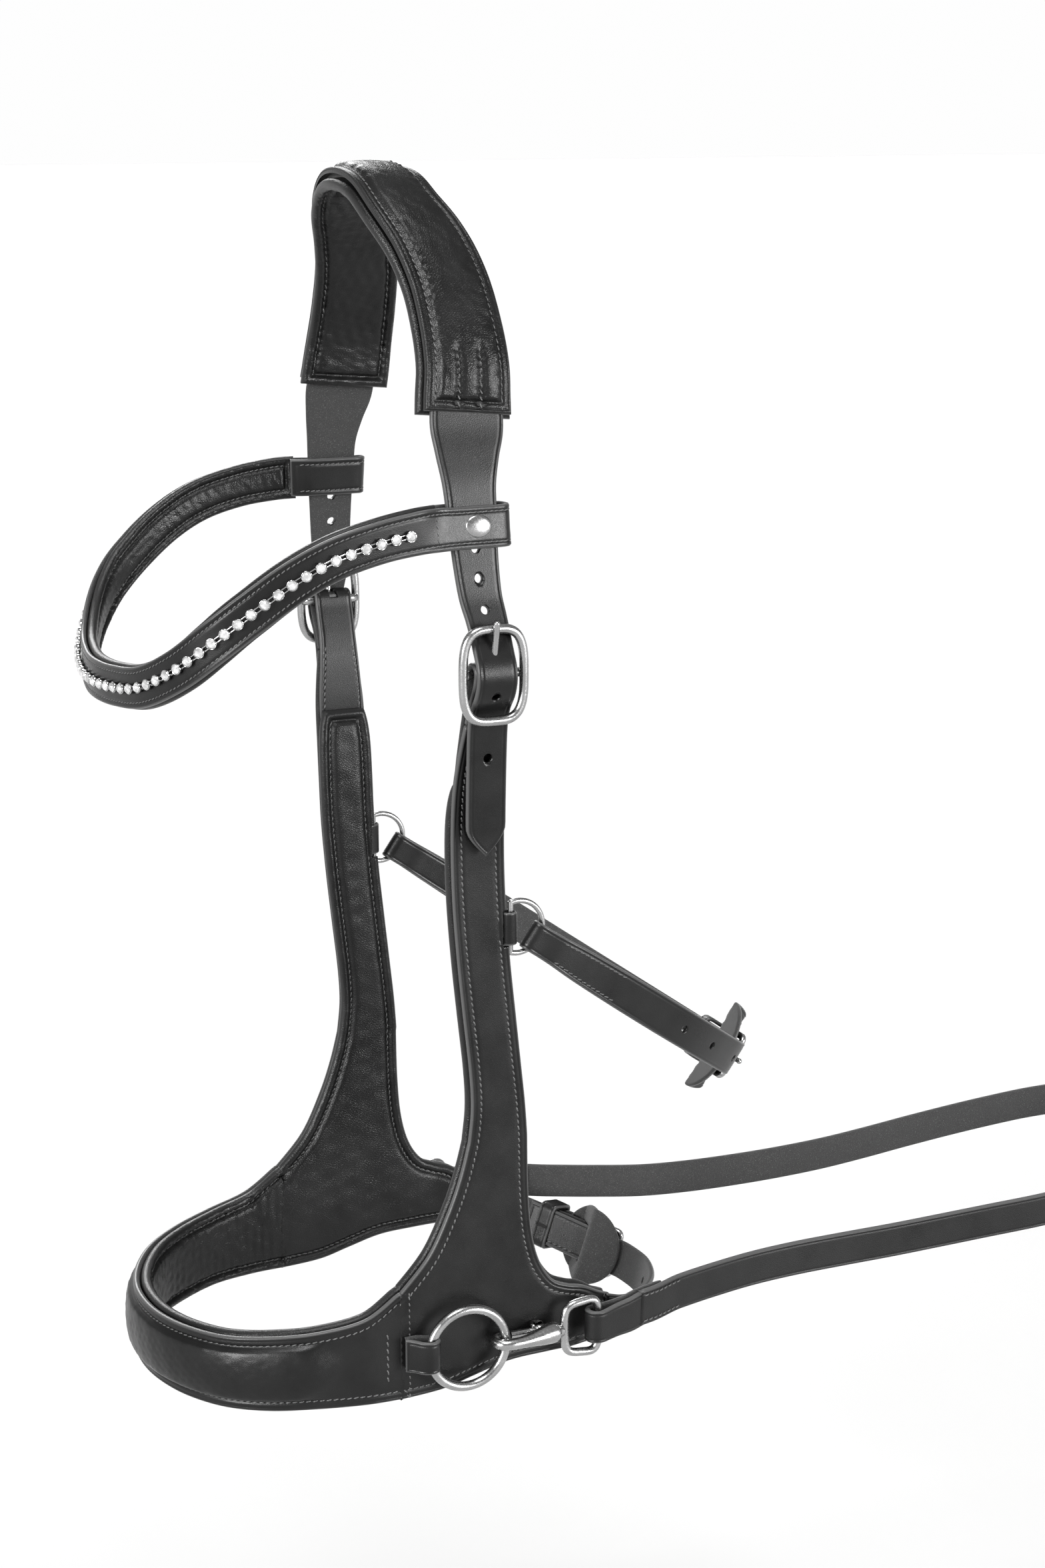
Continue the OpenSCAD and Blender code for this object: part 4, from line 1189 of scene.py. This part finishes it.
def make_cheek():
    outline = cheek_outline(0)
    face = strap_faces(0, -2.8, crease=1.7, stitch=4.1, edge=1.1)
    obj = panel("cheek_cover_left", outline, face, cheek_place, [GRAIN, FLESH],
                closed_side=leather_closed)
    cut(obj, [block((74, DEE[1] - 3.2 - 3.6, DEE[2] - 7.4), (82, DEE[1] + 3.4, DEE[2] + 7.4))])
    finish_pair(obj, "bridle_leather", "cheek_leather_left")

    fold = [[78.6, 13.9, -233, 20.4], [79, 13.9, -222, 20], [80.5, 14.1, -208, 18],
            [82.6, 14.2, -198, 17], [84.9, 14.2, -190, 17], [86.8, 14.2, -184, 17],
            [88, 14.2, -179.4, 17], [91, 14.2, -178.2, 17], [94, 14.2, -179.4, 17],
            [94.6, 14.2, -182.4, 17], [93.2, 14.2, -186.6, 17],
            [90.6, 14.2, -191, 17], [87, 14.2, -197, 17], [84.9, 14.2, -202.4, 17]]
    route = Route(fold, (0, 1, 0), (90.8, 14.2, -186))
    face2 = slim(1.15, -1.15)
    bend = sweep("cheek_fold_left", route, face2, [GRAIN, FLESH], step=1.2, free=(True, False))
    slot = BUCKLE_Y - 2, BUCKLE_Y + 2
    cut(bend, [block((93.1, slot[0], -190), (99, slot[1], -179)),
               block((83, slot[0], -180.4), (99, slot[1], -174))])
    finish_pair(bend, "bridle_leather")
    fold_rows = edge_lines(route, face2, 2.0, 1, 32)

    soft = lining_faces(-3.2, -8.2, 8, roll=2.4, stitch=4.6, sink=2.0, amp=0.2, pitch=2.6)
    pad_outline = cheek_outline(0.9, 26)
    pad = panel("cheek_lining_soft_left", pad_outline, soft, cheek_place, [NAPPA, NAPPA], pitch=1.2,
                closed_side=closed)
    cut(pad, [block((70.2, DEE[1] - 6.4, DEE[2] - 7.6), (76.0, DEE[1] + 6, DEE[2] + 7.6))])
    other = finish_pair(pad, "padding_leather", "cheek_lining_left")

    def below(top):
        return lambda p: ((p[:, 0] > FRONT + 1.5) & (np.linalg.norm(p - DEE[1:], axis=1) > 9)
                          & (p[:, 1] < top))
    lines = inset_line(outline, 4.1, below(-206), cheek_place, -0.32)
    lines += inset_line(pad_outline, 4.6, below(-233), cheek_place, -6.3, -1)
    thread = stitches("cheek_stitches_left", lines + fold_rows, r=0.36, pitch=2.7)
    finish_pair(thread, "thread")


make_cheek()


# ------------------------------------------------------------------ noseband
NOSE = [
    [78.9, -22.8, -465, 47], [78, -37, -469.5, 38], [73.5, -57, -471.5, 34], [65, -75, -473, 33],
    [53, -90, -474, 32], [36, -101, -474.5, 31.5], [18, -107.5, -474.5, 31],
    [0, -109.5, -474.5, 31]]


def make_noseband():
    rows = [[79, -21.2, -464.6, 47.6], *NOSE]
    route = Route(whole(rows), (0, 0, 1), (0, 0, -470), upright=True)
    total = route.length

    def face(d, s, x):
        end = np.minimum(s, total - s)
        top = -1.4 + 1.4 * rounded(d, 1.0)
        bulge = rise(end - 7 * (x / 12) ** 2, 23, 42)
        mid = np.sqrt(np.clip(1 - (x / 12.2) ** 2, 0, 1))
        top = top + bulge * rise(d, 4.1, 5.6) * (0.7 + 3.0 * mid) - 0.5 * groove(d, 4.0, 0.5)
        top = top - 0.25 * groove(d, 1.7, 0.3) * (1 - bulge * 0.4)
        top = top + bulge * 0.14 * wobble(s, x * 2, 6, 31) * rise(d, 4.5, 6)
        return top, -1.4 - 1.3 * rounded(d, 1.0)
    obj = sweep("noseband_cover", route, face, [GRAIN, FLESH], step=1.4, mids=11,
                free=(False, False))
    finish_piece(obj, "bridle", "bridle_leather", "noseband_leather")
    lines = edge_lines(route, face, 4.0, 2, total - 2)
    lines += [cross_line(route, face, v, -13, 9) for v in (7, total - 7)]
    wide = Route(whole([[*r[:3], r[3] + 1.8] for r in rows]), (0, 0, 1), (0, 0, -470), upright=True)
    soft = lining_faces(-3.3, -8.1, 12, roll=2.3, stitch=4.6, sink=1.9, amp=0.2, pitch=2.6)
    pad = sweep("noseband_lining", wide, soft, [NAPPA, NAPPA], step=0.8, mids=14,
                free=(False, False))
    finish_piece(pad, "bridle", "padding_leather", "noseband_padding")
    lines += edge_lines(wide, soft, 4.6, 2, wide.length - 2, under=True, lift=-0.1)
    sew("noseband_stitches", lines, "bridle", r=0.36, pitch=2.8)


make_noseband()


# ------------------------------------------------------------------ tabs that hold the rings
def make_tabs():
    ring = [[80.3, -20.5, 14.2], [80.5, -16, 14.4], [81.6, -13.4, 14.4], [83.4, -9.6, 14.2],
            [86, -8.2, 14], [88.7, -9.4, 14], [89.6, -12.2, 14.2], [88, -15.4, 14.4],
            [84.6, -18.4, 14.5], [82.6, -21.2, 14.5]]
    route = Route([[x, y, RING_Z, w] for x, y, w in ring], (0, 0, 1), (85.5, -14.5, RING_Z))
    face = slim(0.95, -0.95)
    tab = sweep("ring_tab_wrap_left", route, face, [GRAIN, FLESH], step=0.9, free=(False, True))
    finish_pair(tab, "bridle_leather", "ring_tab_left")
    d = DEE - [0, 3.2, 0]
    roll = [[-3.4, -10], [-3.2, -5], [-2.6, -1.2], [-1.2, 1.4], [0.9, 2.0], [2.2, 0.5],
            [2.0, -1.8], [0.4, -3.0], [-1.8, -3.4]]
    rows = [[d[0] + x, d[1] + y, d[2], 13.8] for x, y in roll]
    route = Route(rows, (0, 0, 1), (d[0], d[1] - 0.6, d[2]))
    hold = sweep("dee_wrap_left", route, slim(0.55, -0.55, crease=0), [GRAIN, FLESH], step=0.7,
                 free=(False, True))
    finish_pair(hold, "bridle_leather", "dee_keeper_left")


make_tabs()


# ------------------------------------------------------------------ cheek buckles' frames
def make_cheek_buckle(side, name, node, body):
    """A heavy rounded frame, thicker at its top and bottom, with the centre bar behind it."""
    angle = np.linspace(0, 2 * math.pi, 96, endpoint=False)
    c, s = np.cos(angle), np.sin(angle)
    y = 12.9 * np.sign(c) * np.abs(c) ** 0.56
    z = 18.3 * np.sign(s) * np.abs(s) ** 0.62
    ring = np.stack([np.full_like(y, 93.8), BUCKLE_Y + y, BUCKLE_Z + z], 1)
    thick = 1.85 + 0.1 * np.abs(s) ** 3
    parts = [tube(ring, thick, 16, closed=True)]
    bar = [[92.2, 1.8], [91.2, 4.2], [91, 6], [91, 22.4], [91.2, 24.2], [92.2, 26.6]]
    parts.append(tube([[x, y, BUCKLE_Z] for x, y in bar], 1.9, 14))
    points, faces = joined(parts)
    points[:, 0] *= side
    obj = mesh_object(name, points, faces, [STEEL])
    finish_piece(obj, body, "steel", node)


for side, hand in ((1, "left"), (-1, "right")):
    make_cheek_buckle(side, "cheek_buckle_frame_" + hand, "cheek_buckle_" + hand,
                      "cheek_frame_" + hand)


# ------------------------------------------------------------------ the browband's stud
def make_stud():
    low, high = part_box("loop_stud")
    middle = (np.array(low) + np.array(high)) / 2 / MM
    out, wide, tall = np.array([[0.989, 0, 0.148], [0, 5.4, 0], [-0.148 * 4.4, 0, 0.989 * 4.4]])
    profile = [(1.0, -0.6), (1.0, 0.0), (0.97, 0.25), (0.88, 0.5), (0.72, 0.75), (0.5, 0.95),
               (0.25, 1.07), (0.05, 1.1)]
    sides, pts, faces = 48, [], []
    for r, h in profile:
        for k in range(sides):
            a = 2 * math.pi * k / sides
            pts.append(middle + out * h + wide * r * math.cos(a) + tall * r * math.sin(a))
    for j in range(len(profile) - 1):
        for k in range(sides):
            m = (k + 1) % sides
            faces.append((j * sides + k, j * sides + m, (j + 1) * sides + m, (j + 1) * sides + k))
    faces.append(tuple(range(sides - 1, -1, -1)))
    faces.append(tuple((len(profile) - 1) * sides + k for k in range(sides)))
    obj = mesh_object("stud_dome", np.array(pts), faces, [STEEL])
    finish_piece(obj, "browband", "steel", "loop_stud")


make_stud()


# ------------------------------------------------------------------ snap hooks
def make_snap(side, name, node):
    """A cast snap: hook round the ring, swelling body, lugs for the gate, and the rein's eye."""
    hook = curve([[81.65, 25.6, 1.5], [81.7, 22.6, 1.9], [83.2, 19.2, 2.1], [86, 17.95, 2.25],
                  [88.9, 19.2, 2.35], [90.3, 22.6, 2.4], [90.2, 28, 2.5], [89.4, 33, 3.0],
                  [88, 38, 3.9], [86.8, 42, 4.4], [86.1, 45, 4.2], [86, 46.6, 3.2],
                  [86, 48.6, 2.3]], 6)
    line = np.stack([hook[:, 0], hook[:, 1], np.full(len(hook), RING_Z)], 1)
    parts = [tube(line, hook[:, 2], 20)]
    angle = np.linspace(0, 2 * math.pi, 72, endpoint=False)
    c, s = np.cos(angle), np.sin(angle)
    y = 57 + 7.9 * np.sign(c) * np.abs(c) ** 0.5
    z = RING_Z + (11.4 - 0.9 * (57 - y) / 8) * np.sign(s) * np.abs(s) ** 0.5
    parts.append(tube(np.stack([np.full_like(y, 86), y, z], 1), 1.8, 14, closed=True))
    for z0, z1 in ((-470.6, -468.9), (-465.1, -463.4)):
        parts.append(cylinder((81.65, 38.2, z0), (81.65, 38.2, z1), 2.6))
        parts.append(block((81.65, 36.4, z0), (86.5, 40.4, z1)))
    points, faces = joined(parts)
    points[:, 0] *= side
    obj = mesh_object(name, points, faces, [STEEL])
    finish_piece(obj, "reins", "steel", node)


make_snap(1, "snap_body_left", "snap_hook_left")
make_snap(-1, "snap_body_right", "snap_hook_right")


# ------------------------------------------------------------------ hardware keeps its CAD shape
for name, obj in nodes.items():
    is_metal = any(word in name for word in ("buckle", "tongue", "ring", "snap", "gate", "pin"))
    if is_metal and "tab" not in name:
        if not obj.material_slots:
            obj.data.materials.append(STEEL)
        for slot in obj.material_slots:
            slot.material = STEEL


# ------------------------------------------------------------------ floor and light
def floor_material():
    made = Surface("studio_floor")
    made.feed(Base_Color=ramp(made.tree, made.noise(3, 3), (0.3, 0.495), (0.7, 0.51)))
    made.fix(Roughness=0.9)
    return made.mat


def make_stage():
    bpy.ops.mesh.primitive_plane_add(size=60, location=(0, 0, -0.78))
    floor = bpy.context.object
    floor.name = "studio_floor"
    floor.data.materials.append(floor_material())
    world = bpy.data.worlds.new("studio")
    world.use_nodes = True
    tree = world.node_tree
    shade = tree.nodes["Background"]
    split = tree.nodes.new("ShaderNodeSeparateXYZ")
    where = tree.nodes.new("ShaderNodeTexCoord").outputs["Generated"]
    tree.links.new(where, split.inputs["Vector"])
    sky = ramp(tree, split.outputs["Z"], (0.07, 0.99), (0.3, 0.30), (0.75, 0.42))
    tree.links.new(sky, shade.inputs["Color"])
    scene.world = world
    scene.view_settings.view_transform = "Standard"
    for name, towards, spread, power in (
            ("top", (0.35, -0.15, 1.0), 24, 2.6),
            ("right", (0.80, 0.60, 0.10), 26, 5.0),
            ("left", (0.42, -0.88, 0.26), 24, 4.5),
            ("rear", (-0.80, 0.10, 0.45), 24, 1.5)):
        data = bpy.data.lights.new(name, "SUN")
        data.angle, data.energy = math.radians(spread), power
        lamp = bpy.data.objects.new(name, data)
        lamp.rotation_euler = Vector(towards).to_track_quat("Z", "Y").to_euler()
        scene.collection.objects.link(lamp)


make_stage()
